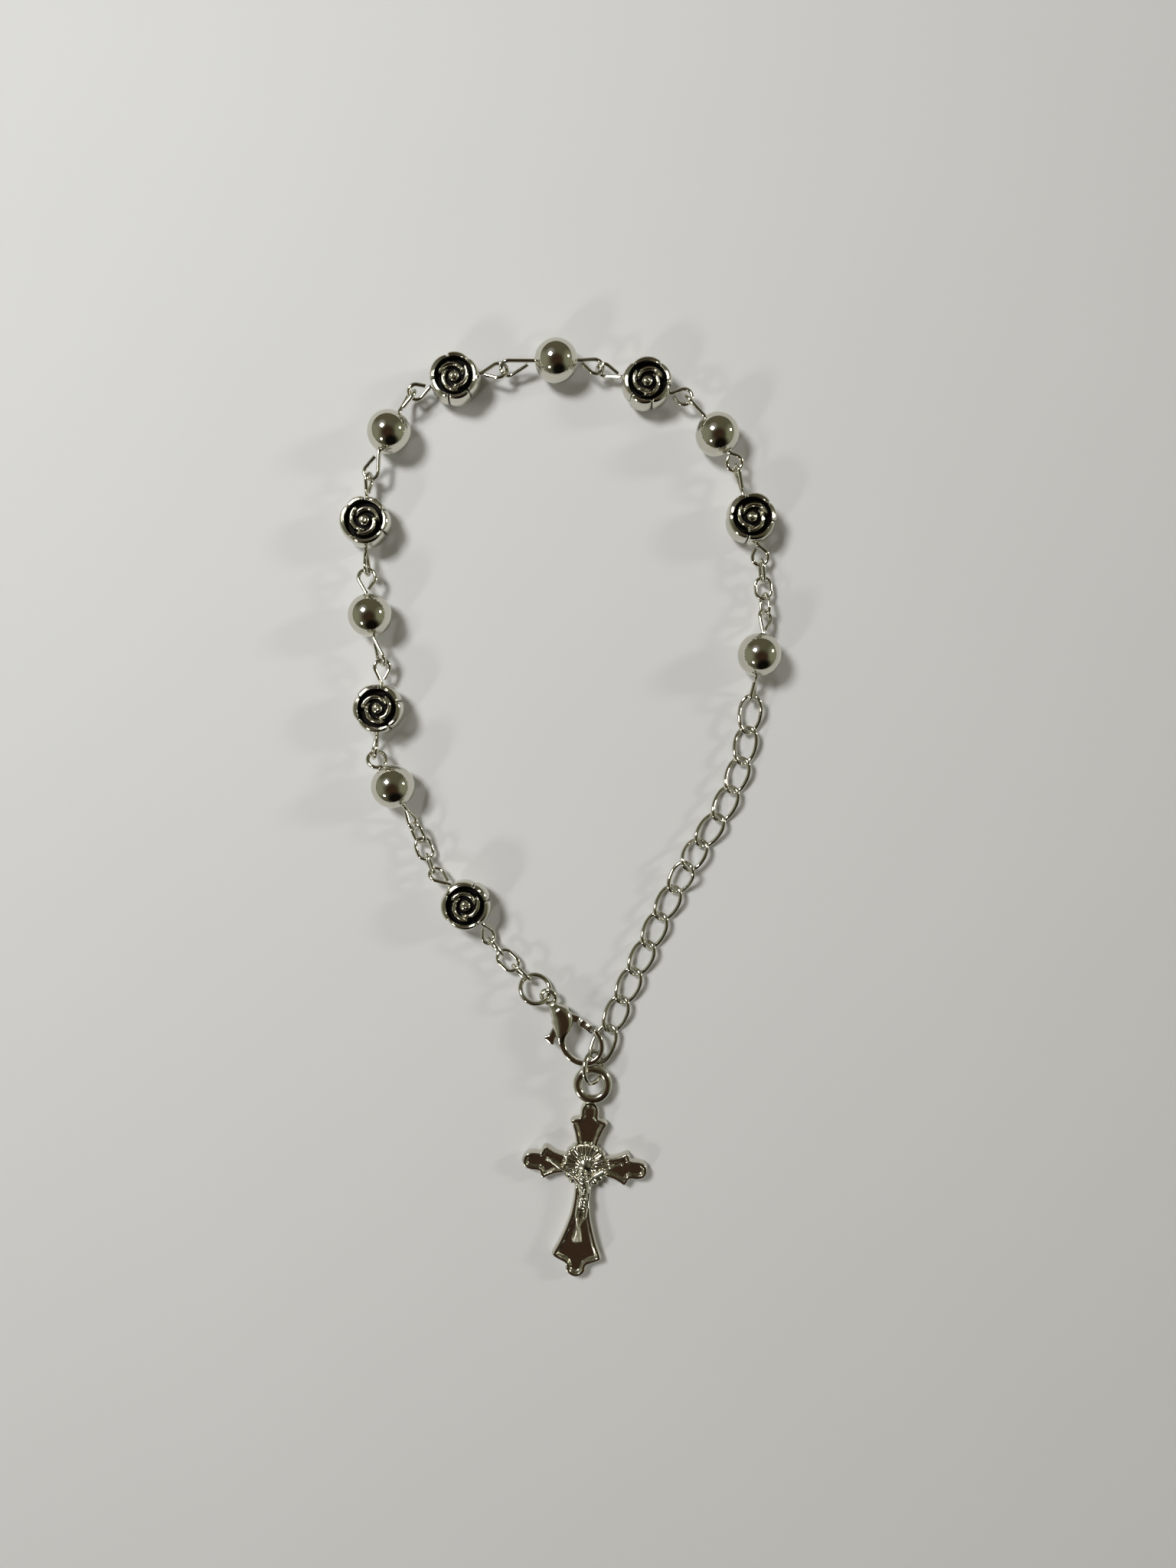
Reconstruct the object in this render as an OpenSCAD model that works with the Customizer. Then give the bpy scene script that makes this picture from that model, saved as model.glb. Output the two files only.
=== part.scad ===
// Rosary bracelet: six round beads and six rose beads on eye pins, short cable
// chains, a curb extension chain, a lobster clasp and a crucifix, lying flat.
// Millimetres. +Y runs from the crucifix to the far beads, +Z is up.

/* [Round beads] */
// Diameter of a round bead
bead_d = 6; // [4:0.5:8]
// Diameter of the hole through every bead
bore_d = 0.84; // [0.7:0.02:1.2]

/* [Rose beads] */
// Width of a rose bead across its petals
rose_d = 7; // [6:0.1:7.6]
// Thickness of a rose bead, face to face
rose_h = 4.5; // [3.5:0.1:5]
// Number of outer petals
petals = 5; // [4:1:7]

/* [Wire] */
// Wire of the eye pins
pin_d = 0.55; // [0.4:0.01:0.6]
// Wire of the short chains
link_d = 0.5; // [0.4:0.01:0.55]
// Wire of the extension chain
curb_d = 0.58; // [0.45:0.01:0.62]
// Wire of the ring between the chain and the clasp
ring_d = 0.7; // [0.5:0.01:0.75]
// Wire of the ring that carries the crucifix
pendant_d = 0.65; // [0.5:0.01:0.7]

/* [Links] */
// Width of a short link between wire middles
link_w = 2.1; // [1.9:0.05:2.3]
// Width of an extension link between wire middles
curb_w = 2.95; // [2.8:0.05:3.1]
// Half the twist of an extension link, degrees
curb_twist = 36; // [30:1:40]

/* [Clasp] */
// Half thickness of the clasp's hook
hook_half = 0.55; // [0.4:0.01:0.65]
// Half thickness of the clasp's body
body_half = 1.3; // [1.1:0.05:1.5]
// Width of the lever's gate
gate_w = 0.84; // [0.6:0.02:0.9]
// Free room around the lever
lever_gap = 0.08; // [0.05:0.01:0.15]

/* [Crucifix] */
// Height of the recessed field of the crucifix
field_h = 1.15; // [0.8:0.05:1.3]
// Height of its raised rim
rim_h = 1.75; // [1.5:0.05:2]
// Width of its raised rim
rim_w = 0.55; // [0.4:0.05:0.7]
// Radius of the rayed disc
halo_r = 3.15; // [2.8:0.05:3.4]
// Number of rays
rays = 24; // [16:2:32]

/* [Hidden] */
silver = [0.78, 0.78, 0.76];
// Middle of the bracelet's outline in the frame the places are written in
middle = [-3.69, -3.65, 0];
wire_sides = 6;
arc_steps = 6;
link_steps = 20;
curb_steps = 22;
smooth = 64;
round_sides = 48;
neck_gap = 0.1;
tail_gap = 0.14;

// Beads in order from the clasp: round or not, x, y, and the rose's turn
ROUND = 0; BX = 1; BY = 2; TURN = 3;
beads = [
    [0, -16.81, -16.66, 68], [1, -26.85, -0.36, 0],
    [0, -28.88, 10.35, 20], [1, -30.03, 23.23, 0],
    [0, -30.67, 36.13, 40], [1, -27.4, 48.49, 0],
    [0, -18.36, 55.85, 48], [1, -4.37, 58.3, 0],
    [0, 8.12, 55.18, 10], [1, 17.79, 48.14, 0],
    [0, 22.46, 36.59, 60], [1, 23.6, 17.79, 0]];

// Meeting points before and after each bead, where two wires hook together
before = [
    [-13.6, -21.7, 1.6], [-24.1, -5.75, 1.75], [-29.6, 4, 2.3],
    [-28.4, 16.8, 2.5], [-30.5, 29.3, 2.4], [-30.2, 42.5, 2.5],
    [-24.3, 54, 2.4], [-11.6, 57.3, 2.4], [1.7, 57.4, 2.5],
    [13.9, 53.3, 2.5], [20.5, 43.7, 2.5], [24.7, 23.7, 1.7]];
after = [
    [-21.5, -12.2, 1.6], before[2], before[3],
    before[4], before[5], before[6],
    before[7], before[8], before[9],
    before[10], [24.1, 30.8, 1.6], [22.8, 11.9, 1.5]];

// Loops of each eye pin: roll, radius and overlap before, then after the bead
ROLL = 0; RAD = 1; LAP = 2;
loops = [
    [[45, 1.03, 0.74], [38, 1, 0.74]], [[68, 1.03, 0.74], [24, 1.25, 0.86]],
    [[-69, 1.15, 0.86], [20, 1.03, 0.74]], [[-60, 1, 0.74], [5, 1.17, 0.74]],
    [[85, 1, 0.74], [80, 1, 0.74]], [[-10, 1.03, 0.74], [-60, 1, 0.86]],
    [[20, 1, 0.86], [-20, 1.2, 0.8]], [[40, 1.05, 0.8], [-15, 1.1, 0.74]],
    [[60, 1, 0.74], [0, 1.1, 0.86]], [[-72, 1.05, 0.86], [0, 1.05, 0.74]],
    [[85, 1, 0.74], [0, 1.1, 0.74]], [[-30, 1.03, 0.74], [-70, 1.03, 0.74]]];

// Short chains: meeting points and the roll of each of the three links
link_lap = 0.66;
chain_a_at = [[-8.3, -27.25, 1.25], [-10.2, -25.45, 1.3], [-12.1, -23.65, 1.25],
    before[0]];
chain_a_roll = [-70, 8, -75];
chain_b_at = [after[0], [-22.4, -10.1, 1.25], [-23.2, -7.9, 1.25], before[1]];
chain_b_roll = [-72, 14, -45];
chain_c_at = [after[10], [24.3, 28.4, 1.25], [24.5, 26.1, 1.25], before[11]];
chain_c_roll = [85, 3, 67];

// Extension chain: the meeting points of its thirteen links
curb_lap = 0.78;
curb_at = [after[11], [22.3, 7.5, 1], [21.5, 3.2, 1], [20.05, -0.8, 1],
    [18.2, -4.7, 1], [15.7, -8.2, 1], [13.75, -11.4, 1.9], [12.1, -14.7, 1],
    [10.1, -18.45, 1], [8.4, -22.35, 1], [6.5, -26.15, 1],
    [4.75, -30.1, 1], [3.05, -34.1, 0.95], [1.25, -38.3, 1.35]];
last_twist = 20;
last_roll = 8;

// Rings: centre, heading of the tilt axis, tilt, radius between wire middles
clasp_ring_at = [[-7.35, -28.5, 1.55], -29.4, -33, 2.08];
pendant_ring_at = [[0.74, -39.21, 2.14], 91, 55, 2.18];
ring_cut = 4;

// Clasp: place of its eye, heading and rise towards the hook
eye_at = [-5.5, -29.56, 1.6];
clasp_heading = -59.2;
clasp_rise = 5.1;
eye_r = 1;
eye_wire = 0.32;
eye_axis = 29.8;
eye_tilt = 28;
pivot = [3.1, 0.3];
pivot_r = 0.3;
gate_turn = 25;
gate_len = 4.12;
gate_lip = 0.42;
gate_off = 0.02;
slot_half = 0.5;

// Crucifix: place of the rayed disc's centre and heading
cross_at = [-0.42, -53.06, 0];
cross_turn = -5.3;
bail_y = 11.42;
bail_r = 2.06;
bail_wire = 0.55;
bail_z = 1.6;
// Neck between the crucifix and its bail: size, start and height
neck = [1.3, 1.5, 1.35];
neck_y = 8.1;
neck_z = 0.5;
// Rayed disc: its height, and the rays' start, sink, lean and two radii
halo_h = rim_h - 0.35;
ray_start = 1.2;
ray_sink = 0.05;
ray_lean = 88;
ray_in = 0.14;
ray_out = 0.3;

function unit(v) = v / norm(v);
function flat(v) = [v[0], v[1], 0];
// Sideways direction of an axis, rolled about it from the level
function side_of(u, roll) =
    let (h = unit([-u[1], u[0], 0])) cos(roll) * h + sin(roll) * cross(u, h);
function rev(v) = [for (i = [len(v) - 1:-1:0]) v[i]];

// Directions along a path, and a sideways vector carried along it
function heads(p, closed) = let (n = len(p)) [for (i = [0:n - 1])
    closed ? unit(p[(i + 1) % n] - p[(i + n - 1) % n])
        : unit(p[min(i + 1, n - 1)] - p[max(i - 1, 0)])];
function carry(t, f, i = 0) = i >= len(t) ? []
    : let (g = unit(f - (f * t[i]) * t[i])) concat([g], carry(t, g, i + 1));
function skin(p, t, f, r) = [for (i = [0:len(p) - 1], k = [0:wire_sides - 1])
    let (a = 360 * k / wire_sides)
    p[i] + r * (cos(a) * f[i] + sin(a) * cross(t[i], f[i]))];
function walls(n, closed) = [for (i = [0:closed ? n - 1 : n - 2],
    k = [0:wire_sides - 1])
    let (a = i * wire_sides, b = (i + 1) % n * wire_sides, j = (k + 1) % wire_sides)
    each [[a + k, b + k, b + j], [a + k, b + j, a + j]]];

// Open wire along a path
module wire(p, d) {
    t = heads(p, false);
    f = carry(t, side_of(t[0], 90));
    n = len(p);
    polyhedron(skin(p, t, f, d / 2), concat(walls(n, false),
        [[for (k = [0:wire_sides - 1]) k]],
        [[for (k = [0:wire_sides - 1]) n * wire_sides - 1 - k]]));
}

// Closed link: an oval between two meeting points, twisted end to end
module link(a, b, lap, w, d, roll, twist, steps, square) {
    u = unit(b - a);
    half = (norm(b - a) + lap) / 2;
    c = (a + b) / 2;
    at = [for (k = [0:steps - 1]) let (t = 360 * k / steps) square
        ? [(half - w / 2) * sign(round(cos(t) * 1000)) + w / 2 * cos(t),
            w / 2 * sin(t)]
        : [half * sign(cos(t)) * pow(abs(cos(t)), 0.8),
            w / 2 * sign(sin(t)) * pow(abs(sin(t)), 0.8)]];
    r = [for (q = at) roll - twist * q[0] / half];
    p = [for (k = [0:steps - 1]) c + u * at[k][0] + side_of(u, r[k]) * at[k][1]];
    t = heads(p, true);
    f = [for (k = [0:steps - 1]) let (g = side_of(u, r[k] + 90))
        unit(g - (g * t[k]) * t[k])];
    polyhedron(skin(p, t, f, d / 2), walls(steps, true));
}

// Eye loop from a bead's mouth towards a meeting point, tail left short
function loop(s, j, l, way) =
    let (u = unit(j - s), far = norm(j - s) + l[LAP] / 2, r = l[RAD],
        n = side_of(u, way * l[ROLL]), c = far - r, b = asin(r / c),
        t = c * cos(b), q = (pin_d + tail_gap) / sin(2 * b),
        out = [[0, 0], [t * cos(b), t * sin(b)] / 2,
            [t * cos(b), t * sin(b)] * 0.75],
        arc = [for (i = [0:2 * arc_steps])
            let (a = (90 + b) * (1 - i / arc_steps))
            [c + r * cos(a), r * sin(a)]],
        back = q < t ? [[t * cos(b), -t * sin(b)] * (1 + q / t) / 2,
            [t * cos(b), -t * sin(b)] * q / t] : [])
    [for (w = concat(out, arc, back)) s + u * w[0] + n * w[1]];

function axis_of(i) = unit(flat(after[i] - before[i]));
function reach(i) = (beads[i][ROUND] == 1 ? bead_d : rose_d) / 2 + neck_gap;
function centre(i) = [beads[i][BX], beads[i][BY],
    (beads[i][ROUND] == 1 ? bead_d : rose_h) / 2];
function heading(i) = atan2(axis_of(i)[1], axis_of(i)[0]);

module pin(i) {
    c = centre(i);
    m = axis_of(i) * reach(i);
    color(silver) wire(concat(rev(loop(c - m, before[i], loops[i][0], -1)),
        loop(c + m, after[i], loops[i][1], 1)), pin_d);
}

module bore(i, len) {
    rotate([0, 90, heading(i)]) cylinder(h = len, d = bore_d, center = true,
        $fn = round_sides);
}

// Round bead: an arc revolved about its own hole
module round_bead(i) {
    color(silver) translate(centre(i)) rotate([0, 90, heading(i)])
        rotate_extrude($fn = smooth) intersection() {
            circle(d = bead_d, $fn = smooth);
            translate([bore_d / 2, -bead_d / 2]) square([bead_d, bead_d]);
        }
}

// Rose bead: five lobes around, a deep ring, three curled petals and a button
petal_shift = 1.3;
petal_r = rose_d / 2 - petal_shift;
petal_low = 3.1;
petal_mid = 3.4;
petal_out = 3.7;
petal_half = rose_h / 2 - 0.2;
ring_in = 1.95;
ring_out = 2.7;
web_half = 0.9;
curl_r = 1.28;
curl_wire = 0.36;
curl_shift = 0.28;
curl_sweep = 112;
stage_h = 1.6;
button_r = 0.72;
dimple_r = 0.2;
module petal_body() {
    h = petal_half;
    difference() {
        intersection() {
            translate([0, 0, -h]) linear_extrude(2 * h) union()
                for (k = [0:petals - 1]) rotate(360 * (k + 0.5) / petals)
                    translate([petal_shift, 0]) circle(r = petal_r, $fn = smooth);
            rotate_extrude($fn = smooth) polygon([[0, -h], [petal_low, -h],
                [petal_mid, -h / 2], [petal_out, 0], [petal_mid, h / 2],
                [petal_low, h], [0, h]]);
        }
        cylinder(r = ring_out, h = 2 * rose_h, center = true, $fn = smooth);
    }
}
module rose_core() {
    rotate_extrude($fn = smooth) polygon([[0, -stage_h], [ring_in, -stage_h],
        [ring_in, -web_half], [ring_out + 0.15, -web_half],
        [ring_out + 0.15, web_half], [ring_in, web_half], [ring_in, stage_h],
        [0, stage_h]]);
}
module rose_face() {
    for (k = [0:2]) rotate(120 * k) translate([curl_shift, 0, stage_h + 0.25])
        rotate_extrude(angle = curl_sweep, $fn = smooth)
            translate([curl_r, 0]) circle(r = curl_wire, $fn = round_sides / 2);
    translate([0, 0, stage_h - 0.2]) difference() {
        cylinder(r1 = button_r, r2 = button_r * 0.75, h = 0.75,
            $fn = round_sides);
        translate([0, 0, 0.45]) cylinder(r = dimple_r, h = 1,
            $fn = round_sides / 2);
    }
}
module rose(i) {
    color(silver) translate(centre(i)) difference() {
        rotate(beads[i][TURN]) union() {
            petal_body();
            rose_core();
            rose_face();
            rotate([180, 0, 0]) rose_face();
        }
        bore(i, rose_d + 1);
    }
}

module short_chain(at, roll) {
    color(silver) for (k = [0:2])
        link(at[k], at[k + 1], link_lap, link_w, link_d, roll[k], 0,
            link_steps, true);
}
module chain_a() short_chain(chain_a_at, chain_a_roll);
module chain_b() short_chain(chain_b_at, chain_b_roll);
module chain_c() short_chain(chain_c_at, chain_c_roll);

module extension_chain() {
    n = len(curb_at) - 1;
    color(silver) for (k = [0:n - 1]) let (end = k == n - 1)
        link(curb_at[k], curb_at[k + 1], curb_lap, curb_w, curb_d,
            end ? last_roll : 0, end ? last_twist : curb_twist,
            curb_steps, false);
}

// Ring tilted about a level axis, with its saw cut turned away
module ring(at, d, cut) {
    color(silver) translate(at[0]) rotate([0, 0, at[1]]) rotate([at[2], 0, 0])
        rotate([0, 0, cut + ring_cut / 2])
            rotate_extrude(angle = 360 - ring_cut, $fn = smooth)
                translate([at[3], 0]) circle(d = d, $fn = round_sides);
}
module clasp_ring() ring(clasp_ring_at, ring_d, 235);
module pendant_ring() ring(pendant_ring_at, pendant_d, 215);

// Clasp middle line: along, across and half width, from neck to nose
clasp_line = [[0.95, -0.1, 0.42], [1.6, 0, 0.8], [2.3, 0.1, 1.25],
    [3.1, 0.15, 1.5], [4, -0.15, 1.58], [4.8, -0.7, 1.25], [5.5, -1.2, 0.85],
    [6.2, -1.52, 0.58], [7, -1.7, 0.47], [7.9, -1.72, 0.43],
    [8.9, -1.48, 0.42], [9.8, -0.9, 0.42], [10.4, -0.1, 0.41],
    [10.68, 0.85, 0.4], [10.55, 1.8, 0.38], [10.05, 2.6, 0.37],
    [9.3, 3.1, 0.35], [8.5, 3.32, 0.33], [7.75, 3.32, 0.32],
    [7.05, 3.17, 0.3]];
module band(from, to, share, half) {
    c = [for (k = [from:to]) clasp_line[k]];
    n = len(c);
    t = heads([for (q = c) [q[0], q[1], 0]], false);
    left = [for (k = [0:n - 1]) [c[k][0] - t[k][1] * c[k][2] * share,
        c[k][1] + t[k][0] * c[k][2] * share]];
    right = [for (k = [n - 1:-1:0]) [c[k][0] + t[k][1] * c[k][2] * share,
        c[k][1] - t[k][0] * c[k][2] * share]];
    translate([0, 0, -half]) linear_extrude(2 * half)
        polygon(concat(left, right));
}
module clasp_place() {
    translate(eye_at) rotate([0, 0, clasp_heading])
        rotate([0, -clasp_rise, 0]) children();
}
// Room swept by the lever inside the body, with a round seat for its hub
hub_r = 0.72;
slot_edge = [[2.3, -0.9], [2.55, 1.0], [2.85, 1.55], [2.8, 4], [6.4, 4.5], [6.6, 0.2],
    [4.9, -0.1], [4.95, -0.7], [6.75, -2.2], [6.9, -4], [2.4, -4]];
module lever_slot() {
    translate([0, 0, -slot_half]) linear_extrude(2 * slot_half) {
        polygon(slot_edge);
        translate(pivot) circle(r = hub_r + lever_gap, $fn = smooth);
    }
}
module clasp_body() {
    color(silver) clasp_place() {
        rotate([0, 0, eye_axis]) rotate([eye_tilt, 0, 0])
            rotate_extrude($fn = smooth) translate([eye_r, 0])
                circle(r = eye_wire, $fn = round_sides);
        difference() {
            union() {
                band(0, len(clasp_line) - 1, 1, hook_half * 0.65);
                band(0, len(clasp_line) - 1, 0.8, hook_half);
                band(1, 7, 0.96, body_half * 0.68);
                band(1, 6, 0.8, body_half * 0.86);
                band(2, 5, 0.62, body_half);
            }
            lever_slot();
        }
        translate([pivot[0], pivot[1], -body_half + 0.1])
            cylinder(r = pivot_r, h = 2 * body_half - 0.2, $fn = round_sides);
    }
}
// Lever: hub on the pivot, gate towards the nose, thumb tab on the other side
gate_root = 0.35;
gate_step = gate_off + 0.1;
tab_edge = [[2.75, 0], [3.6, 0.5], [4.6, -0.95], [5.4, -2.2],
    [6.05, -2.45], [6.1, -2.75], [5.65, -3.3], [4.9, -3.35],
    [4.3, -3.05], [4.35, -2.75], [4.55, -2.4], [3.9, -1.3]];
module clasp_lever() {
    half = slot_half - lever_gap;
    g = gate_w / 2;
    tip = gate_len + gate_lip;
    color(silver) clasp_place() difference() {
        union() {
            translate([pivot[0], pivot[1], -half])
                cylinder(r = hub_r, h = 2 * half, $fn = round_sides);
            translate([pivot[0], pivot[1] + hub_r, -half]) rotate(gate_turn)
                linear_extrude(2 * half) polygon([[-0.2, -g - gate_root],
                    [1.5, -g], [tip, -g], [tip, -gate_step],
                    [gate_len, -gate_step], [gate_len, g], [0.1, g],
                    [-0.4, 0]]);
            translate([0, 0, -half]) linear_extrude(2 * half) polygon(tab_edge);
        }
        translate([pivot[0], pivot[1], -1])
            cylinder(r = pivot_r + lever_gap, h = 2, $fn = round_sides);
    }
}

// Crucifix outline: distance out and half width along each kind of arm
arm_up = [[2.42, 1.5], [4, 1.8], [5.2, 2.25], [5.97, 2.62], [6.28, 2.45],
    [6.55, 1.85], [6.75, 1.38], [7.6, 1.33], [8.3, 1.05], [8.75, 0.6]];
arm_side = [[2.85, 1.35], [4, 1.55], [4.9, 1.95], [5.65, 2.33], [5.95, 2.15],
    [6.2, 1.7], [6.38, 1.38], [7.4, 1.33], [8.2, 1.1], [8.65, 0.6]];
arm_down = [[2.6, 1.2], [4.2, 1.18], [5.5, 1.27], [7, 1.5], [8.8, 2],
    [10.8, 2.7], [12.35, 3.38], [12.8, 3.45], [13.2, 2.9], [13.5, 2.2],
    [13.9, 1.5], [14.6, 1.42], [15.1, 1.1], [15.45, 0.6]];
up_tip = 8.9;
side_tip = 8.8;
down_tip = 15.6;
function arm(a, tip, turn) = [for (q = concat(
    [for (q = a) [q[0], -q[1]]], [[tip, 0]], rev(a)))
    [q[0] * cos(turn) - q[1] * sin(turn), q[0] * sin(turn) + q[1] * cos(turn)]];
// Recessed field inside the rim
field_up = [[2.4, 0.95], [4, 1.25], [5.1, 1.65], [5.75, 2], [6.05, 1.3],
    [6.35, 0.85], [7.6, 0.78], [8.1, 0.5]];
field_side = [[2.8, 0.8], [4, 1], [4.85, 1.35], [5.45, 1.7], [5.75, 1.2],
    [6, 0.85], [7.4, 0.78], [8, 0.5]];
field_down = [[2.6, 0.65], [4.2, 0.63], [5.5, 0.72], [7, 0.95], [8.8, 1.45],
    [10.8, 2.12], [12.35, 2.85], [12.9, 2], [13.4, 0.95], [14.4, 0.88],
    [14.8, 0.5]];
function cross_shape(side, top, down, in) = concat(
    arm(side, side_tip - in, 0), arm(top, up_tip - in, 90),
    arm(side, side_tip - in, 180), arm(down, down_tip - in, 270));

module limb(a, b, r1, r2) {
    v = b - a;
    translate(a) rotate([0, acos(v[2] / norm(v)), atan2(v[1], v[0])])
        cylinder(r1 = r1, r2 = r2, h = norm(v), $fn = round_sides / 2);
}
// Figure in relief: each limb's two ends, measured from the rim's top, and radii
head_at = [-0.1, -0.95, 0.35];
head_r = 0.7;
arms = [[[0.3, -2.2, 0], [-3.3, -0.6, -0.2], 0.38, 0.24],
    [[-0.2, -2.2, 0], [3.5, -0.6, -0.2], 0.37, 0.25]];
trunk = [[[-0.05, -1.2, -0.05], [0.05, -4.7, -0.15], 0.8, 0.6],
    [[0.05, -4.4, -0.12], [0, -6.1, -0.2], 0.7, 0.78]];
legs = [[[-0.3, -5.5, -0.1], [-0.2, -8.6, -0.3], 0.42, 0.27],
    [[0.37, -5.5, -0.12], [0.12, -8.5, -0.33], 0.41, 0.26]];
foot_rest = [[[-0.05, -8.9, -0.35], [-0.1, -11.2, -0.5], 0.4, 0.55]];
module figure() {
    translate([0, 0, rim_h]) {
        translate(head_at) sphere(r = head_r, $fn = round_sides / 2);
        for (m = concat(arms, trunk, legs, foot_rest)) limb(m[0], m[1], m[2], m[3]);
    }
}
module crucifix() {
    color(silver) translate(cross_at) rotate(cross_turn) {
        difference() {
            linear_extrude(rim_h)
                polygon(cross_shape(arm_side, arm_up, arm_down, 0));
            translate([0, 0, field_h]) linear_extrude(2)
                polygon(cross_shape(field_side, field_up, field_down, rim_w));
        }
        cylinder(r = halo_r, h = halo_h, $fn = smooth);
        for (k = [0:rays - 1]) rotate(360 * k / rays)
            translate([ray_start, 0, halo_h - ray_sink]) rotate([0, ray_lean, 0])
                cylinder(r1 = ray_in, r2 = ray_out, h = halo_r + ray_sink - ray_start,
                    $fn = round_sides / 2);
        figure();
        translate([-neck[0] / 2, neck_y, neck_z]) cube(neck);
        translate([0, bail_y, bail_z]) rotate_extrude($fn = smooth)
            translate([bail_r, 0]) circle(r = bail_wire, $fn = round_sides);
    }
}

translate(-middle) {
    rose(0);  // rose_1
    rose(2);  // rose_2
    rose(4);  // rose_3
    rose(6);  // rose_4
    rose(8);  // rose_5
    rose(10);  // rose_6
    round_bead(1);  // bead_1
    round_bead(3);  // bead_2
    round_bead(5);  // bead_3
    round_bead(7);  // bead_4
    round_bead(9);  // bead_5
    round_bead(11);  // bead_6
    pin(0);  // pin_1
    pin(1);  // pin_2
    pin(2);  // pin_3
    pin(3);  // pin_4
    pin(4);  // pin_5
    pin(5);  // pin_6
    pin(6);  // pin_7
    pin(7);  // pin_8
    pin(8);  // pin_9
    pin(9);  // pin_10
    pin(10);  // pin_11
    pin(11);  // pin_12
    chain_a();
    chain_b();
    chain_c();
    extension_chain();
    clasp_ring();
    pendant_ring();
    clasp_body();
    clasp_lever();
    crucifix();
}
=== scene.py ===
"""Finished look of a rosary bracelet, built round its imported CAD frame."""

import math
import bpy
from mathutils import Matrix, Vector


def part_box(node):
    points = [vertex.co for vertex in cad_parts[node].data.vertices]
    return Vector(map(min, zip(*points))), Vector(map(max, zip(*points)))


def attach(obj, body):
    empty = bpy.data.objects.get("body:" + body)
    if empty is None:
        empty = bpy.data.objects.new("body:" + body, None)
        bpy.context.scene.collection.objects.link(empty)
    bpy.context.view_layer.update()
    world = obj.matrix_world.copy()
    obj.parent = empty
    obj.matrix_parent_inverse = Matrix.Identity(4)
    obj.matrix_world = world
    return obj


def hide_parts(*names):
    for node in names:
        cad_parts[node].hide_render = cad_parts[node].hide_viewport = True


bl_info = {
    "name": "Rosary bracelet",
    "version": (1, 0, 0),
    "blender": (4, 5, 0),
    "location": "View3D > Sidebar > Bracelet",
    "description": "Builds the finished look of a rosary bracelet round its packed frame",
    "category": "Object",
}

import bmesh
import bpy
import numpy as np
from mathutils import Vector

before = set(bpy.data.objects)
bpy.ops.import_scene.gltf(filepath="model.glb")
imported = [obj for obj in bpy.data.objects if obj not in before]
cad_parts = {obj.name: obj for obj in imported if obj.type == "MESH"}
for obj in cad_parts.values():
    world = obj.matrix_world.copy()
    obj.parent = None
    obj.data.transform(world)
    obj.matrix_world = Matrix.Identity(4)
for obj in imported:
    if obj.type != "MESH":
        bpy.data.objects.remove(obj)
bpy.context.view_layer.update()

# Lengths in this file are millimetres unless a property says metres
MM = 0.001

# Beads in order from the clasp: round or rose, x and y
BEADS = [
    ("rose", -16.81, -16.66), ("round", -26.85, -0.36), ("rose", -28.88, 10.35),
    ("round", -30.03, 23.23), ("rose", -30.67, 36.13), ("round", -27.4, 48.49),
    ("rose", -18.36, 55.85), ("round", -4.37, 58.3), ("rose", 8.12, 55.18),
    ("round", 17.79, 48.14), ("rose", 22.46, 36.59), ("round", 23.6, 17.79),
]

# Roses in order: 1 where the crescents run in clockwise or -1 where they run in the
# other way, the first crescent's outer end, and the directions of the rim's nicks
ROSES = [
    (1, 48, (68, 12, -56, -138, 148)), (1, 67, (83, 18, -57, -151, 148)),
    (-1, -9, (91, 28, -30, -125, 141)), (1, 54, (50, -46, -104, 188, 108)),
    (-1, 7, (129, 53, -10, -78, -136)), (-1, 3, (106, 39, -11, -101, 175)),
]

# Rose: radius between its petals, how far a petal stands out, and on the side the
# bulge, the depth and width of the groove, and how much narrower the underside is
ROSE_EDGE = 3.05
PETAL_REACH = 0.22
SIDE_BULGE = 0.28
GROOVE_DEPTH = 0.11
GROOVE_WIDTH = 0.06
SIDE_TAPER = 0.08

# Points where two wires hook together: before each bead, and after the three beads
# that a chain follows
JOINTS = [
    (-13.6, -21.7, 1.6), (-24.1, -5.75, 1.75), (-29.6, 4, 2.3),
    (-28.4, 16.8, 2.5), (-30.5, 29.3, 2.4), (-30.2, 42.5, 2.5),
    (-24.3, 54, 2.4), (-11.6, 57.3, 2.4), (1.7, 57.4, 2.5),
    (13.9, 53.3, 2.5), (20.5, 43.7, 2.5), (24.7, 23.7, 1.7),
]
AFTER_FIRST = (-21.5, -12.2, 1.6)
AFTER_LAST_ROSE = (24.1, 30.8, 1.6)
CHAIN_START = (22.8, 11.9, 1.5)

# How far a pin runs straight from the bead's centre, and the gap at a loop's free end
PIN_REACH = {"round": 3.1, "rose": 3.6}
LOOP_GAP = 0.02

# Eye pin loops: roll, radius and overlap before the bead, then after it
LOOPS = [
    ((45, 1.03, 0.74), (38, 1, 0.74)), ((68, 1.03, 0.74), (24, 1.25, 0.86)),
    ((-69, 1.15, 0.86), (20, 1.03, 0.74)), ((-60, 1, 0.74), (5, 1.17, 0.74)),
    ((85, 1, 0.74), (80, 1, 0.74)), ((-10, 1.03, 0.74), (-60, 1, 0.86)),
    ((20, 1, 0.86), (-20, 1.2, 0.8)), ((220, 1.05, 0.8), (-15, 1.1, 0.74)),
    ((60, 1, 0.74), (0, 1.1, 0.86)), ((-72, 1.05, 0.86), (0, 1.05, 0.74)),
    ((85, 1, 0.74), (0, 1.1, 0.74)), ((-30, 1.03, 0.74), (-70, 1.03, 0.74)),
]

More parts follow.
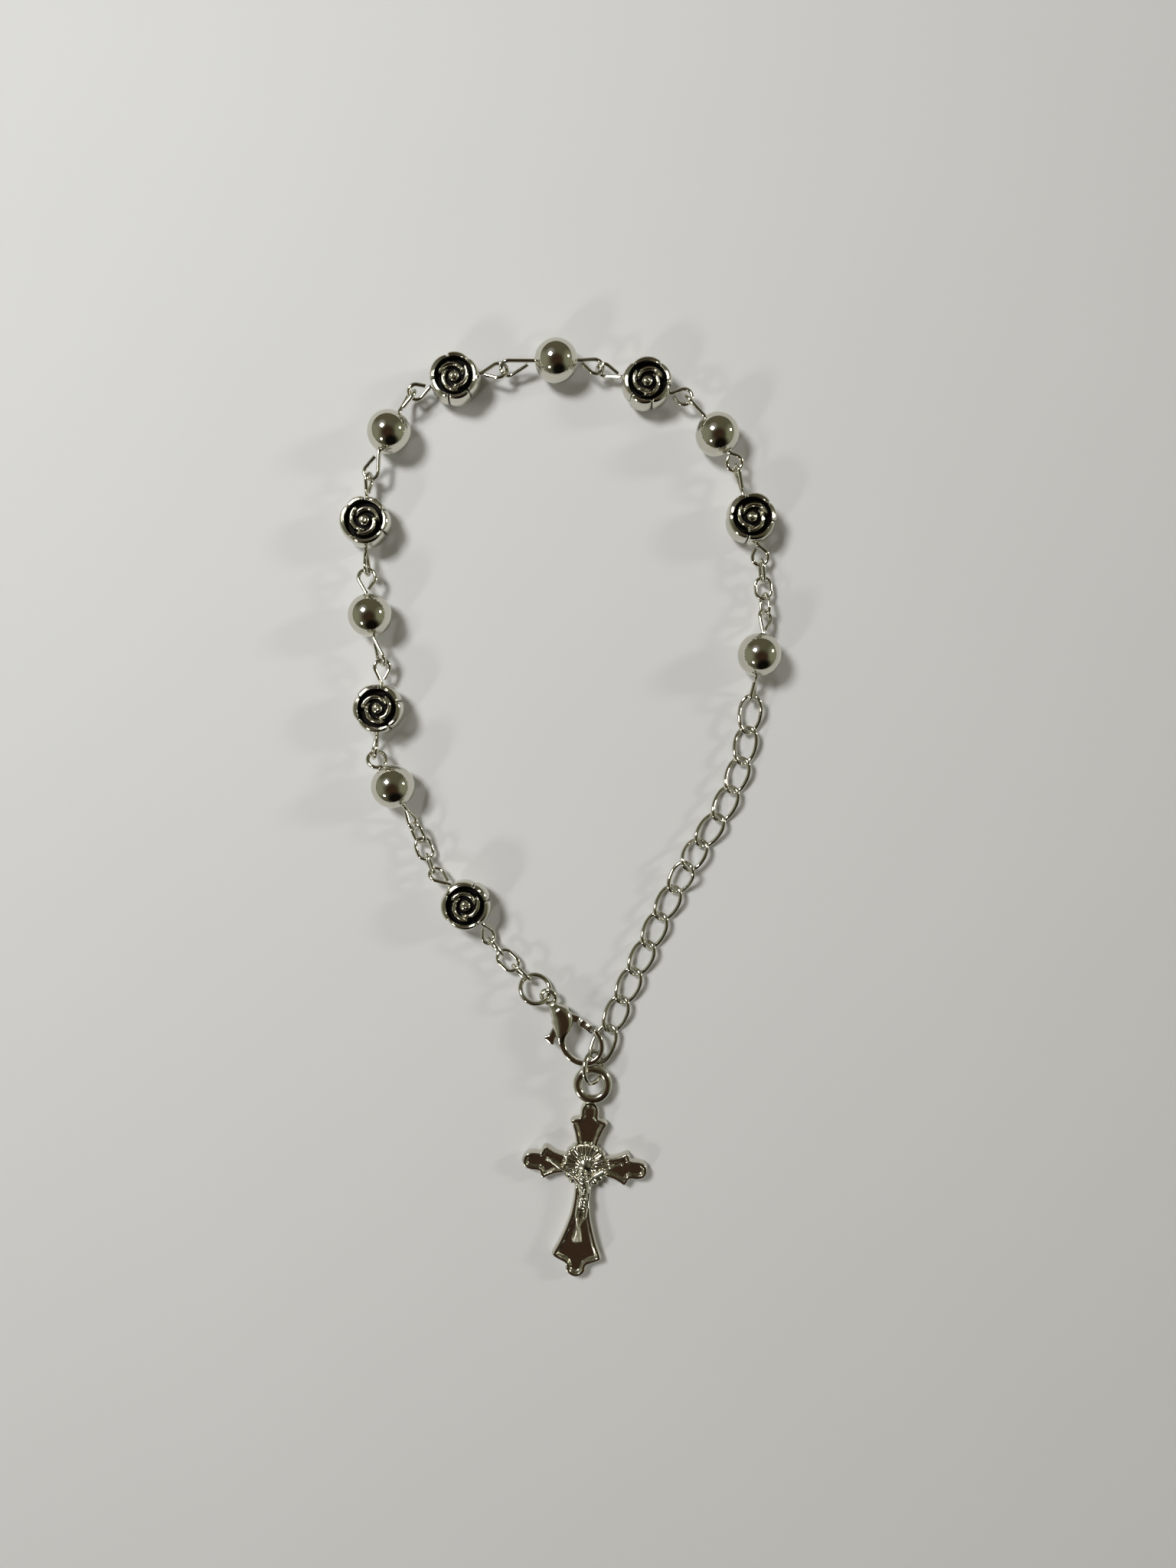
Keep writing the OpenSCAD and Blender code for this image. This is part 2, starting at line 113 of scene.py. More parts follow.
# Short chains: meeting points and the roll of each link, and how far a link laps past
# its points
SHORT_CHAINS = {
    "chain_a": ([(-8.3, -27.25, 1.25), (-10.2, -25.45, 1.3), (-12.1, -23.65, 1.25),
                 JOINTS[0]], (-70, 8, -75)),
    "chain_b": ([AFTER_FIRST, (-22.4, -10.1, 1.25), (-23.2, -7.9, 1.25), JOINTS[1]],
                (-72, 14, -45)),
    "chain_c": ([AFTER_LAST_ROSE, (24.3, 28.4, 1.25), (24.5, 26.1, 1.25), JOINTS[11]],
                (85, 3, 67)),
}
SHORT_LAP = 0.66

# Extension chain: meeting points of its links, how far a link laps past them, its
# twist, and the twist and roll of the last link
CURB_POINTS = [
    CHAIN_START, (22.3, 7.5, 1), (21.5, 3.2, 1), (20.05, -0.8, 1), (18.2, -4.7, 1),
    (15.7, -8.2, 1), (13.75, -11.4, 1.9), (12.1, -14.7, 1), (10.1, -18.45, 1),
    (8.4, -22.35, 1), (6.5, -26.15, 1), (4.75, -30.1, 1), (3.05, -34.1, 0.95),
    (1.25, -38.3, 1.35),
]
CURB_LAP = 0.78
CURB_TWIST = 36.0
LAST_TWIST = 20.0
LAST_ROLL = 8.0

# Rings: centre, heading of the tilt axis, tilt, radius to the wire's middle, and where
# the cut is; then the cut's own angle
CLASP_RING = ((-7.35, -28.5, 1.55), -29.4, -33, 2.08, 235)
PENDANT_RING = ((0.74, -39.21, 2.14), 91, 55, 2.18, 215)
RING_CUT = 4.0

# Clasp: its eye's centre, heading, rise, radius, wire and turn, and its pivot
EYE_AT = (-5.5, -29.56, 1.6)
CLASP_HEADING = -59.2
CLASP_RISE = 5.1
EYE_RADIUS = 1.0
EYE_WIRE = 0.32
EYE_AXIS = 29.8
EYE_TILT = 28.0
PIVOT = (3.1, 0.3)
PIVOT_RADIUS = 0.3
PIVOT_HALF = 1.2

# The clasp's middle line from neck to nose, with its half width
CLASP_LINE = [
    (0.95, -0.1, 0.42), (1.6, 0, 0.8), (2.3, 0.1, 1.25), (3.1, 0.15, 1.5),
    (4, -0.15, 1.58), (4.8, -0.7, 1.25), (5.5, -1.2, 0.85), (6.2, -1.52, 0.58),
    (7, -1.7, 0.47), (7.9, -1.72, 0.43), (8.9, -1.48, 0.42), (9.8, -0.9, 0.42),
    (10.4, -0.1, 0.41), (10.68, 0.85, 0.4), (10.55, 1.8, 0.38), (10.05, 2.6, 0.37),
    (9.3, 3.1, 0.35), (8.5, 3.32, 0.33), (7.75, 3.32, 0.32), (7.05, 3.17, 0.3),
]

# The slot that the lever turns in, and the lever's own sizes
SLOT_EDGE = [
    (2.3, -0.9), (2.55, 1.0), (2.85, 1.55), (2.8, 4), (6.4, 4.5), (6.6, 0.2),
    (4.9, -0.1), (4.95, -0.7), (6.75, -2.2), (6.9, -4), (2.4, -4),
]
SLOT_HALF = 0.5
HUB_SEAT = 0.8
LEVER_HALF = 0.42
HUB_RADIUS = 0.72
GATE_TURN = 25.0
GATE_LENGTH = 4.12
RIBS_FROM, RIBS_TO, RIB_PITCH, RIB_HEIGHT = 3.0, 3.84, 0.28, 0.022
ROOT_LINE = [(3.0, 0.62), (3.2, 0.95), (3.55, 1.2), (4.1, 1.47)]
TAB_LINE = [(3.0, 0.2), (3.8, -0.3), (4.4, -1.5), (4.95, -2.4), (5.2, -3.1)]

# Edges that bend by more degrees than these stay sharp; corners closer than a sliver,
# in metres, are merged where shells are cut or joined
SHARP = 38
CAST_SHARP = 40
FIGURE_SHARP = 80
ALL_SMOOTH = 180
SLIVER = 0.000002

# Crucifix: centre of the rayed disc, turn, and each arm's outline as distance from
# that centre and half width
CROSS_AT = (-0.42, -53.06, 0)
CROSS_TURN = -5.3
ARM_UP = [(2.42, 1.5), (4, 1.8), (5.2, 2.25), (5.97, 2.62), (6.28, 2.45),
          (6.55, 1.85), (6.75, 1.38), (7.6, 1.33), (8.45, 1.08), (9.0, 0.62), (9.18, 0)]
ARM_SIDE = [(2.85, 1.35), (4, 1.55), (4.9, 1.95), (5.65, 2.33), (5.95, 2.15),
            (6.2, 1.7), (6.38, 1.38), (7.4, 1.33), (8.2, 1.1), (8.65, 0.6), (8.8, 0)]
ARM_DOWN = [(2.6, 1.2), (4.2, 1.18), (5.5, 1.27), (7, 1.5), (8.8, 2), (10.8, 2.7),
            (12.35, 3.38), (12.8, 3.45), (13.2, 2.9), (13.5, 2.2), (13.9, 1.5),
            (14.6, 1.42), (15.1, 1.1), (15.45, 0.6), (15.6, 0)]

# Bail ring, with the neck that joins it to the upper arm
BAIL_Y = 11.42
BAIL_RADIUS = 2.1
BAIL_WIRE = 0.62
BAIL_HEIGHT = 1.6
BAIL_FLATTENED = 0.85
NECK = ((0, 8.1, 1.2), (0, 9.6, 1.2))

# Heights over the cross's back, and the rim's widths in from the outline
FIELD_HEIGHT = 1.15
RIM_HEIGHT = 1.75
RIM_BEVEL = 0.26
RIM_WIDTH = 0.58
RIM_FOOT = 0.8
SIDE_HEIGHT = 0.75

# Rayed disc: radius in its valleys, height before the cone, rays, how far they reach
# out and rise, and the steepness of the cone
DISC_EDGE = 2.98
DISC_TOP = 1.38
DISC_RAYS = 20
RAY_REACH = 0.2
RAY_RISE = 0.3
CONE_RISE = 0.5

# The figure's head: its place, its height over the cross's back and its tilt
HEAD_AT = (-0.22, -1.36)
HEAD_RISE = 1.72
HEAD_TILT = 8

# Arms of the figure from shoulder to hand: x, y, radius and height, left then right
ARMS = [
    [(-0.6, -2.35, 0.5, 2.1), (-1.45, -1.55, 0.44, 2.14), (-2.1, -0.98, 0.4, 2.1),
     (-3.5, -0.5, 0.35, 2.04), (-4.6, 0.08, 0.26, 1.8), (-5.15, 0.3, 0.3, 1.62)],
    [(0.75, -2.2, 0.5, 2.1), (1.45, -1.15, 0.44, 2.14), (2.6, -0.35, 0.39, 2.1),
     (3.5, 0.12, 0.34, 2.02), (4.35, 0.45, 0.26, 1.8), (4.85, 0.55, 0.3, 1.62)],
]

# Thighs, shins and feet: both ends, the radius at each and the height at each
LEGS = [
    ((-0.38, -5.7), (-0.5, -6.9), 0.54, 0.46, 2.1, 2.16),
    ((0.58, -5.7), (0.58, -6.9), 0.58, 0.48, 2.1, 2.2),
    ((-0.5, -6.9), (-0.32, -8.3), 0.44, 0.26, 2.14, 1.85),
    ((0.58, -6.9), (0.06, -8.3), 0.46, 0.26, 2.18, 1.85),
    ((-0.32, -8.3), (-0.28, -8.8), 0.26, 0.22, 1.85, 1.7),
    ((0.06, -8.3), (0.04, -8.75), 0.26, 0.22, 1.85, 1.72),
]

# Finish of each material slot: the material's name, its roughness over the plating's
# own, the size of its grain, the depth of its dents, and whether it is blackened
FINISHES = {
    "silver_plate": ("mirror plating", 1, 0.4, 0.0006, False),
    "rose_silver": ("blackened plating", 1.2, 0.3, 0.002, True),
    "crucifix_silver": ("cast plating", 2.2, 0.5, 0.006, False),
}

# The dim room: its own colour, and patches laid over it, each with its zenith, its
# compass angle, the angles between which it fades out, and its colour
ROOM_COLOUR = (0.11, 0.105, 0.07)
ROOM_PATCHES = [
    (75, 0, 15, 45, (0.24, 0.25, 0.17)),
    (78, 185, 15, 50, (0.26, 0.26, 0.19)),
    (60, 95, 10, 40, (0.12, 0.11, 0.07)),
    (18, 285, 14, 44, (0.045, 0.026, 0.016)),
    (66, 285, 18, 42, (0.006, 0.005, 0.004)),
    (38, 138, 8, 26, (0.3, 0.29, 0.28)),
]

# Lamps: zenith, compass angle, distance and size in metres, power over the main
# lamp's, and colour; and half the paper's side in metres
LAMPS = {
    "main_lamp": (36, 140, 0.5, 0.12, 1, (1, 1, 0.99)),
    "right_lamp": (68, 16, 1.2, 0.14, 1.6, (1, 0.99, 0.95)),
    "low_left_lamp": (62, 230, 1.2, 0.14, 1.55, (1, 0.99, 0.95)),
}
PAPER_HALF = 3.0

# Camera: height over the photograph's centre, and focal length in its pixels
CAMERA_HEIGHT = 153.0
FOCAL_PIXELS = 1423.0
LONG_SIDE_PIXELS = 2048.0
SENSOR = 36.0


def unit(v):
    """Each vector over its own length."""
    return v / np.linalg.norm(v, axis=-1, keepdims=True)


def ramp(x, low, high):
    """Zero below low, one above high, and 3t^2 - 2t^3 in between."""
    t = np.clip((x - low) / (high - low), 0, 1)
    return t * t * (3 - 2 * t)


def bell(x, width):
    """One at nought, falling off as the exponential of minus the square of x over width."""
    return np.exp(-((x / width) ** 2))


def band(x, rise_from, rise_to, fall_from, fall_to):
    """One between the two inner bounds, easing to zero at the outer ones."""
    return ramp(x, rise_from, rise_to) * (1 - ramp(x, fall_from, fall_to))


def powered(x, power):
    """The size of x to a power, with the sign of x."""
    return np.sign(x) * np.abs(x) ** power


def full_turn(count):
    """Evenly spaced angles once round."""
    return np.linspace(0, 2 * np.pi, count, endpoint=False)


def polar(r, a, z):
    """Points from their distance off the z axis, their angle about it and their height."""
    r, a, z = np.broadcast_arrays(r, a, z)
    return np.stack([r * np.cos(a), r * np.sin(a), z], -1)


def turned(points, axis, degrees):
    """Points turned about a coordinate axis: 0 is x, 1 is y and 2 is z."""
    c, s = math.cos(math.radians(degrees)), math.sin(math.radians(degrees))
    a, b = [(1, 2), (2, 0), (0, 1)][axis]
    out = np.array(points, float)
    out[..., a] = c * points[..., a] - s * points[..., b]
    out[..., b] = s * points[..., a] + c * points[..., b]
    return out


def side_of(u, roll):
    """The level direction across u, turned about u by roll degrees."""
    level = unit(np.array([-u[1], u[0], 0.0]))
    a = np.radians(np.asarray(roll, float))[..., None]
    return np.cos(a) * level + np.sin(a) * np.cross(u, level)


def smooth_line(points, steps):
    """A line through the points: each span is the cubic whose end slopes are half the
    step between its outer neighbours, shared out by the square root of the distances."""
    p = np.array(points, float)
    p = np.vstack([2 * p[0] - p[1], p, 2 * p[-1] - p[-2]])
    knots = np.concatenate([[0], np.cumsum(np.linalg.norm(np.diff(p, axis=0), axis=1) ** 0.5)])
    at = np.concatenate([np.linspace(knots[i], knots[i + 1], steps, endpoint=False)
                         for i in range(1, len(p) - 2)] + [[knots[-2]]])
    i = np.clip(np.searchsorted(knots, at, side="right") - 1, 1, len(p) - 3)

    def between(a, b, ka, kb):
        return ((kb - at) / (kb - ka))[:, None] * a + ((at - ka) / (kb - ka))[:, None] * b

    k = [knots[i + j] for j in (-1, 0, 1, 2)]
    q = [p[i + j] for j in (-1, 0, 1, 2)]
    a1, a2, a3 = (between(q[j], q[j + 1], k[j], k[j + 1]) for j in range(3))
    b1, b2 = between(a1, a2, k[0], k[2]), between(a2, a3, k[1], k[3])
    return between(b1, b2, k[1], k[2])


def loft(rings, closed=False):
    """Quads between neighbouring rings of points. An open stack gets a fan at each end."""
    n, m = rings.shape[:2]
    points = rings.reshape(-1, 3)
    rows = np.arange(n if closed else n - 1)[:, None] * m
    after = (rows + m) % (n * m)
    k = np.arange(m)[None, :]
    j = (k + 1) % m
    quads = np.stack([rows + k, after + k, after + j, rows + j], -1).reshape(-1, 4)
    if closed:
        return [points, quads, np.zeros((0, 3), int)]
    points = np.vstack([points, rings[0].mean(0), rings[-1].mean(0)])
    k, j = k[0], j[0]
    first = np.stack([k, j, np.full(m, n * m)], -1)
    last = (n - 1) * m + np.stack([j, k, np.full(m, m + 1)], -1)
    return [points, quads, np.vstack([first, last])]


def outward(shell):
    """The shell with its faces turned outwards, judged by the sign of its volume."""
    points, quads, tris = shell
    every = np.vstack([quads[:, [0, 1, 2]], quads[:, [0, 2, 3]], tris])
    a, b, c = (points[every[:, i]] for i in range(3))
    if np.einsum("ij,ij->i", a, np.cross(b, c)).sum() < 0:
        return [points, quads[:, ::-1], tris[:, ::-1]]
    return shell


def wire(path, radius, sides=16, closed=False):
    """A round wire: a circle of the radius carried along the path, square to it.
    An open wire's ends are cut flat, with the rim drawn in by a fifth of the radius."""
    path = np.array(path, float)
    if closed:
        t = unit(np.roll(path, -1, 0) - np.roll(path, 1, 0))
        f = path - path.mean(0)
        f = unit(f - np.einsum("ij,ij->i", f, t)[:, None] * t)
        size = np.full(len(path), radius)
    else:
        t = unit(np.gradient(path, axis=0))
        f = [side_of(t[0], 90)]
        for heading in t[1:]:
            f.append(unit(f[-1] - f[-1] @ heading * heading))
        f = np.array(f)
        nip = radius * 0.2
        path = np.vstack([path[0] - nip * t[0], path, path[-1] + nip * t[-1]])
        t, f = (np.vstack([v[:1], v, v[-1:]]) for v in (t, f))
        size = np.full(len(path), radius)
        size[[0, -1]] = radius - nip
    a = full_turn(sides)[:, None]
    circle = np.cos(a) * f[:, None] + np.sin(a) * np.cross(t, f)[:, None]
    return loft(path[:, None] + size[:, None, None] * circle, closed)


def turned_solid(outline, sides):
    """A closed outline of radius and height, carried round the z axis."""
    r, z = np.array(outline, float).T
    return loft(polar(r, full_turn(sides)[:, None], z), closed=True)


def placed(shell, move):
    """The shell with its points moved by a function."""
    return [move(shell[0]), shell[1], shell[2]]


# The frame the places are written in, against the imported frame
LOW, HIGH = (np.array(c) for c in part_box("bead_1"))
MIDDLE = np.array([BEADS[1][1], BEADS[1][2], 0]) - np.append((LOW + HIGH)[:2] / 2 / MM, 0)


def add_piece(name, shells, nodes, slot="silver_plate", body="bracelet", sharp=SHARP,
              stain=None):
    """One object out of closed shells: it rides on its body, stands for its nodes and
    has its slot's finish. stain is a value for every point, which is read as tarnish."""
    shells = [outward(s) for s in shells]
    start = np.cumsum([0] + [len(s[0]) for s in shells])
    points = np.vstack([s[0] for s in shells])
    quads = np.vstack([s[1] + k for s, k in zip(shells, start)])
    tris = np.vstack([s[2] + k for s, k in zip(shells, start)])
    mesh = bpy.data.meshes.new(name)
    mesh.vertices.add(len(points))
    mesh.vertices.foreach_set("co", ((points - MIDDLE) * MM).astype(np.float32).ravel())
    corners = np.concatenate([quads.ravel(), tris.ravel()]).astype(np.int32)
    mesh.loops.add(len(corners))
    mesh.loops.foreach_set("vertex_index", corners)
    mesh.polygons.add(len(quads) + len(tris))
    counts = np.repeat([4, 3], [len(quads), len(tris)])
    firsts = np.cumsum(counts) - counts
    mesh.polygons.foreach_set("loop_start", firsts.astype(np.int32))
    mesh.update(calc_edges=True)
    mesh.validate()
    mesh.shade_smooth()
    mesh.set_sharp_from_angle(angle=math.radians(sharp))
    if stain is not None:
        layer = mesh.attributes.new("tarnish", "FLOAT", "POINT")
        layer.data.foreach_set("value", np.asarray(stain, np.float32))
    mesh.materials.append(finish_of(slot))
    piece = bpy.data.objects.new(name, mesh)
    bpy.context.scene.collection.objects.link(piece)
    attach(piece, body)
    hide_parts(*nodes)
    return piece


def feed(tree, node, inputs):
    """Give each input its value, or a link where the value is another node's output."""
    for name, value in inputs.items():
        if isinstance(value, bpy.types.NodeSocket):
            tree.links.new(value, node.inputs[name])
        else:
            node.inputs[name].default_value = value


def add_node(tree, kind, inputs, **settings):
    """A new node with its own settings and its inputs. Returns its outputs."""
    node = tree.nodes.new(kind)
    for name, value in settings.items():
        setattr(node, name, value)
    feed(tree, node, inputs)
    return node.outputs


def noise(tree, scale, detail):
    """A cloudy noise that keeps its place on the object."""
    where = add_node(tree, "ShaderNodeTexCoord", {})["Object"]
    return add_node(tree, "ShaderNodeTexNoise",
                    {"Vector": where, "Scale": scale, "Detail": detail})["Fac"]


def blend(tree, share, first, second, kind="RGBA"):
    """From the first to the second colour or number by a share."""
    return add_node(tree, "ShaderNodeMix", {"Factor": share, "A": first, "B": second},
                    data_type=kind)["Result"]


def bump(tree, height, strength, distance):
    """Normals bent by a height."""
    return add_node(tree, "ShaderNodeBump", {
        "Height": height, "Strength": strength, "Distance": distance})["Normal"]


def map_range(tree, inputs, kind="LINEAR"):
    """A value carried from one range to another."""
    return add_node(tree, "ShaderNodeMapRange", inputs, interpolation_type=kind)["Result"]


def new_material(name):
    """An empty material and its node tree."""
    made = bpy.data.materials.new(name)
    made.use_nodes = True
    return made, made.node_tree


def finish_of(slot):
    """A slot's plating, made at its first use. Its roughness wanders with a soft noise
    of the grain's size, and a fine bump bends its reflections. Tarnish darkens and
    dulls it where the piece's own tarnish value is high."""
    name, dulled, grain, dent, blackened = FINISHES[slot]
    made = bpy.data.materials.get(name)
    if made:
        return made
    look = bpy.context.scene.bracelet_finish
    colour = look.colour
    roughness = look.roughness * dulled
    made, tree = new_material(name)
    soft = noise(tree, 1 / (grain * MM), 4)
    dull = map_range(tree, {"Value": soft, "From Min": 0.35, "From Max": 0.7,
                            "To Min": roughness * 0.6, "To Max": roughness * 1.6})
    tone = blend(tree, soft, (*colour, 1), (*(c * 0.93 for c in colour), 1))
    if blackened:
        stain = add_node(tree, "ShaderNodeAttribute", {}, attribute_name="tarnish")["Fac"]
        ragged = add_node(tree, "ShaderNodeMath", {0: soft, 1: 0.5, 2: stain},
                          operation="MULTIPLY_ADD")[0]
        edge = map_range(tree, {"Value": ragged, "From Min": 0.55, "From Max": 0.95},
                         "SMOOTHSTEP")
        tone = blend(tree, edge, tone, (0.012, 0.011, 0.01, 1))
        dull = blend(tree, edge, dull, 0.6, "FLOAT")
    feed(tree, tree.nodes["Principled BSDF"], {
        "Metallic": 1.0, "Base Color": tone, "Roughness": dull,
        "Normal": bump(tree, soft, 0.6, dent * MM)})
    return made


def bead_frame(index):
    """Centre, axis and reach of a bead: its axis runs level between its two joints."""
    kind, x, y = BEADS[index]
    before, after = joints_of(index)
    axis = unit(np.array([after[0] - before[0], after[1] - before[1], 0.0]))
    low, high = (np.array(c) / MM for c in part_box(node_of(index)))
    return np.array([x, y, (low[2] + high[2]) / 2]), axis, PIN_REACH[kind]


def joints_of(index):
    """The meeting points before and after a bead."""
    after = {0: AFTER_FIRST, 10: AFTER_LAST_ROSE, 11: CHAIN_START}
    last = after.get(index) or JOINTS[index + 1]
    return np.array(JOINTS[index], float), np.array(last, float)


def node_of(index):
    """The CAD node of a bead: roses stand at even places and round beads at odd ones."""
    return ("rose_%d" if index % 2 == 0 else "bead_%d") % (index // 2 + 1)


def round_bead(index, radius, bore):
    """A drilled ball: an arc from one mouth of the hole to the other, the mouths
    eased by a small fillet, carried round the hole's axis."""
    centre, axis, _ = bead_frame(index)
    ease = 0.07
    open_angle = math.asin((bore + ease) / radius)
    a = np.linspace(open_angle, np.pi - open_angle, 96)
    arc = np.stack([radius * np.sin(a), radius * np.cos(a)], -1)
    mouth = radius * math.cos(open_angle)
    b = np.radians([60, 30, 0])
    lip = np.stack([bore + ease * (1 - np.sin(b)), mouth - ease * (1.15 - np.cos(b))], -1)
    wall = np.stack([np.full(6, bore), np.linspace(mouth - 2 * ease, -mouth + 2 * ease, 6)], -1)
    outline = np.vstack([arc[::-1], lip, wall, lip[::-1] * [1, -1]])
    heading = math.degrees(math.atan2(axis[1], axis[0]))
    shell = turned_solid(outline, 128)
    return placed(shell, lambda p: turned(turned(p, 1, 90), 2, heading) + centre)


def petal_share(phi, nicks):
    """For each direction, how far it is through its petal, from 0 to 1, and its
    distance in degrees from the nearest nick."""
    ordered = np.sort(np.array(nicks) % 360)
    phi = phi % 360
    i = np.searchsorted(ordered, phi, side="right") - 1
    start = np.where(i < 0, ordered[-1] - 360, ordered[i])
    following = np.append(ordered, ordered[0] + 360)
    end = np.where(i < 0, ordered[0], following[np.clip(i, 0, None) + 1])
    share = (phi - start) / (end - start)
    return share, np.minimum(phi - start, end - phi)


def rose_relief(phi, r, edge, near, first, hand):
    """Height of a rose's face at direction phi and radius r. The rim is a rolled lip
    with a fine line along it, cut by nicks. Inside a deep ring lie three crescents,
    each a broad rounded ridge whose radius falls as it runs round until it dives under
    the next, and a dimpled button."""
    floor, stage = 1.0, 1.3
    u = np.clip((r - 2.62) / (edge - 2.62), 0, 1)
    rim = 1.8 + 0.32 * np.sin(np.pi * (0.2 + 0.68 * u))
    rim = rim - 0.06 * bell(u - 0.36, 0.09)
    z = floor + (rim - floor) * ramp(r, 2.54, 2.68)
    z = z - 0.8 * bell(near * np.radians(r), 0.075) * ramp(r, 2.46, 2.66)
    z = np.where(r < 2.4, np.maximum(z, stage - 0.3 * ramp(r, 1.6, 2.0)), z)
    for k in range(3):
        t = ((first - 120 * hand * k - phi) * hand) % 360 / 165
        s = np.clip(t, 0, 1)
        half = 0.09 + 0.36 * np.sin(np.pi * np.clip(s * 0.95 + 0.03, 0, 1)) ** 0.5
        middle = 2.06 - 0.9 * s + 0.06 * s ** 2
        d = np.clip(np.abs(r - middle) / half, 0, 1)
        crest = stage + (0.86 - 0.1 * s) * ramp(s, -0.03, 0.1) * (1 - 0.65 * ramp(s, 0.8, 1.0))
        ridge = 1.1 + (crest - 1.1) * np.sqrt(1 - d ** 2)
        z = np.where((t < 1) & (d < 1), np.maximum(z, ridge), z)
    button = 2.14 - 0.3 * (r / 0.72) ** 2 - 0.45 * bell(r, 0.15)
    button = stage + (button - stage) * (1 - ramp(r, 0.68, 0.78))
    return np.where(r < 0.9, np.maximum(z, button), z)


def rose(index):
    """A rose bead as one closed skin: its face from the middle out, the side, and the
    same face again beneath, mirrored and a little narrower. The edge stands out by a
    sine over each petal, and each petal laps its neighbour. The side bulges by the
    cosine of its lean, less at the seams, with a fine groove halfway down. Returns the
    skin and its tarnish."""
    centre, axis, _ = bead_frame(index)
    hand, first, nicks = ROSES[index // 2]
    around, across, down = 240, 92, 41
    phi = np.arange(around) * 360 / around
    share, near = petal_share(phi, nicks)
    lap = 0.1 * hand * (share - 0.5)
    edge = ROSE_EDGE + PETAL_REACH * np.sin(np.pi * share) ** 0.6 + lap
    v = (np.arange(across)[:, None] + 0.6) / across
    v = 1 - (1 - v) ** 1.12
    r = edge * v
    face = rose_relief(phi, r, edge, near, first, hand)
    face = face + lap * ramp(r, 2.6, 2.8)
    seam = bell(near * np.radians(3.3), 0.13)
    lean = np.radians(np.linspace(66, -66, down))[:, None]
    flat = math.cos(lean[0, 0])
    bulge = SIDE_BULGE * (np.cos(lean) - flat) / (1 - flat)
    groove = bell(lean + 0.12 - 0.5 * lap, GROOVE_WIDTH)
    taper = 1 - SIDE_TAPER * ramp(-np.sin(lean), 0.0, 0.9)
    side_r = (edge + bulge * (1 - 0.7 * seam)) * taper - GROOVE_DEPTH * groove
    side_z = face[-1] * (np.sin(lean) / math.sin(lean[0, 0]))
    a = np.radians(phi)
    top = polar(r, a, face)
    side = polar(side_r, a, side_z)
    rings = np.vstack([top, side[1:-1], top[::-1] * [taper[-1, 0], taper[-1, 0], -1]])
    # Where the pin runs in, the side is sunk to a blind hole round the pin
    off = np.linalg.norm(np.cross(rings, axis), axis=-1)
    along = rings @ axis
    hole = (1 - ramp(off, 0.3, 0.44)) * (np.abs(along) > 2)
    rings = rings - (hole * 0.7 * np.sign(along))[..., None] * axis
    deep = 1 - ramp(face, 1.42, 1.78)
    wall = np.maximum(seam * 0.9 - 0.1, groove[1:-1] * 0.9 - 0.05)
    stain = np.maximum(np.vstack([deep, wall, deep[::-1]]), ramp(hole, 0.3, 0.7))
    shell = placed(loft(rings), lambda p: p + centre)
    return shell, np.append(stain.ravel(), [0, 0])


def eye_loop(mouth, joint, shape, way, thickness):
    """An eye loop from a bead's mouth to a meeting point, as a line of points: a
    straight run touching a circle, the circle round its far side, and a straight run
    back that stops where the two wires all but meet."""
    roll, radius, overlap = shape
    out = joint - mouth
    u = unit(out)
    n = side_of(u, way * roll)
    far = np.linalg.norm(out) + overlap / 2 - radius
    b = math.asin(radius / far)
    run = far * math.cos(b)
    tail = (thickness + LOOP_GAP) / math.sin(2 * b)
    tip = np.array([run * math.cos(b), run * math.sin(b)])
    straight = np.linspace(0, 1, 8, endpoint=False)[:, None] * tip
    a = (math.pi / 2 + b) * np.linspace(1, -1, 49)
    bow = np.stack([far + radius * np.cos(a), radius * np.sin(a)], -1)
    line = [straight, bow]
    if tail < run:
        line.append(np.linspace(1, tail / run, 6)[1:, None] * tip * [1, -1])
    flat = np.vstack(line)
    return mouth + flat[:, :1] * u + flat[:, 1:] * n


def eye_pin(index, radius):
    """The wire through a bead with its two loops, as one run."""
    centre, axis, reach = bead_frame(index)
    before, after = joints_of(index)
    first = eye_loop(centre - axis * reach, before, LOOPS[index][0], -1, 2 * radius)
    second = eye_loop(centre + axis * reach, after, LOOPS[index][1], 1, 2 * radius)
    inside = centre + axis * np.linspace(-reach, reach, 9)[1:-1, None]
    return wire(np.vstack([first[::-1], inside, second]), radius)


def short_link(a, b, roll, width, radius):
    """A cable link: two straight sides joined by half circles."""
    a, b = np.array(a, float), np.array(b, float)
    u = unit(b - a)
    half = (np.linalg.norm(b - a) + SHORT_LAP) / 2
    turn = np.radians(np.linspace(-90, 90, 20))
    bow = np.stack([half - width / 2 + width / 2 * np.cos(turn), width / 2 * np.sin(turn)], -1)
    flat = np.vstack([bow, -bow])
    across = side_of(u, roll)
    return wire((a + b) / 2 + flat[:, :1] * u + flat[:, 1:] * across, radius, 14, True)


def curb_link(a, b, roll, twist, width, radius):
    """A curb link: an oval drawn slightly to a point at its ends, its half width
    following the sine to the power 0.8 and its length the cosine to the power 0.8,
    twisted evenly from end to end."""
    a, b = np.array(a, float), np.array(b, float)
    u = unit(b - a)
    half = (np.linalg.norm(b - a) + CURB_LAP) / 2
    t = full_turn(72)
    along = half * powered(np.cos(t), 0.8)
    across = width / 2 * powered(np.sin(t), 0.8)
    side = side_of(u, roll - twist * along / half)
    path = (a + b) / 2 + along[:, None] * u + across[:, None] * side
    return wire(path, radius, 16, True)


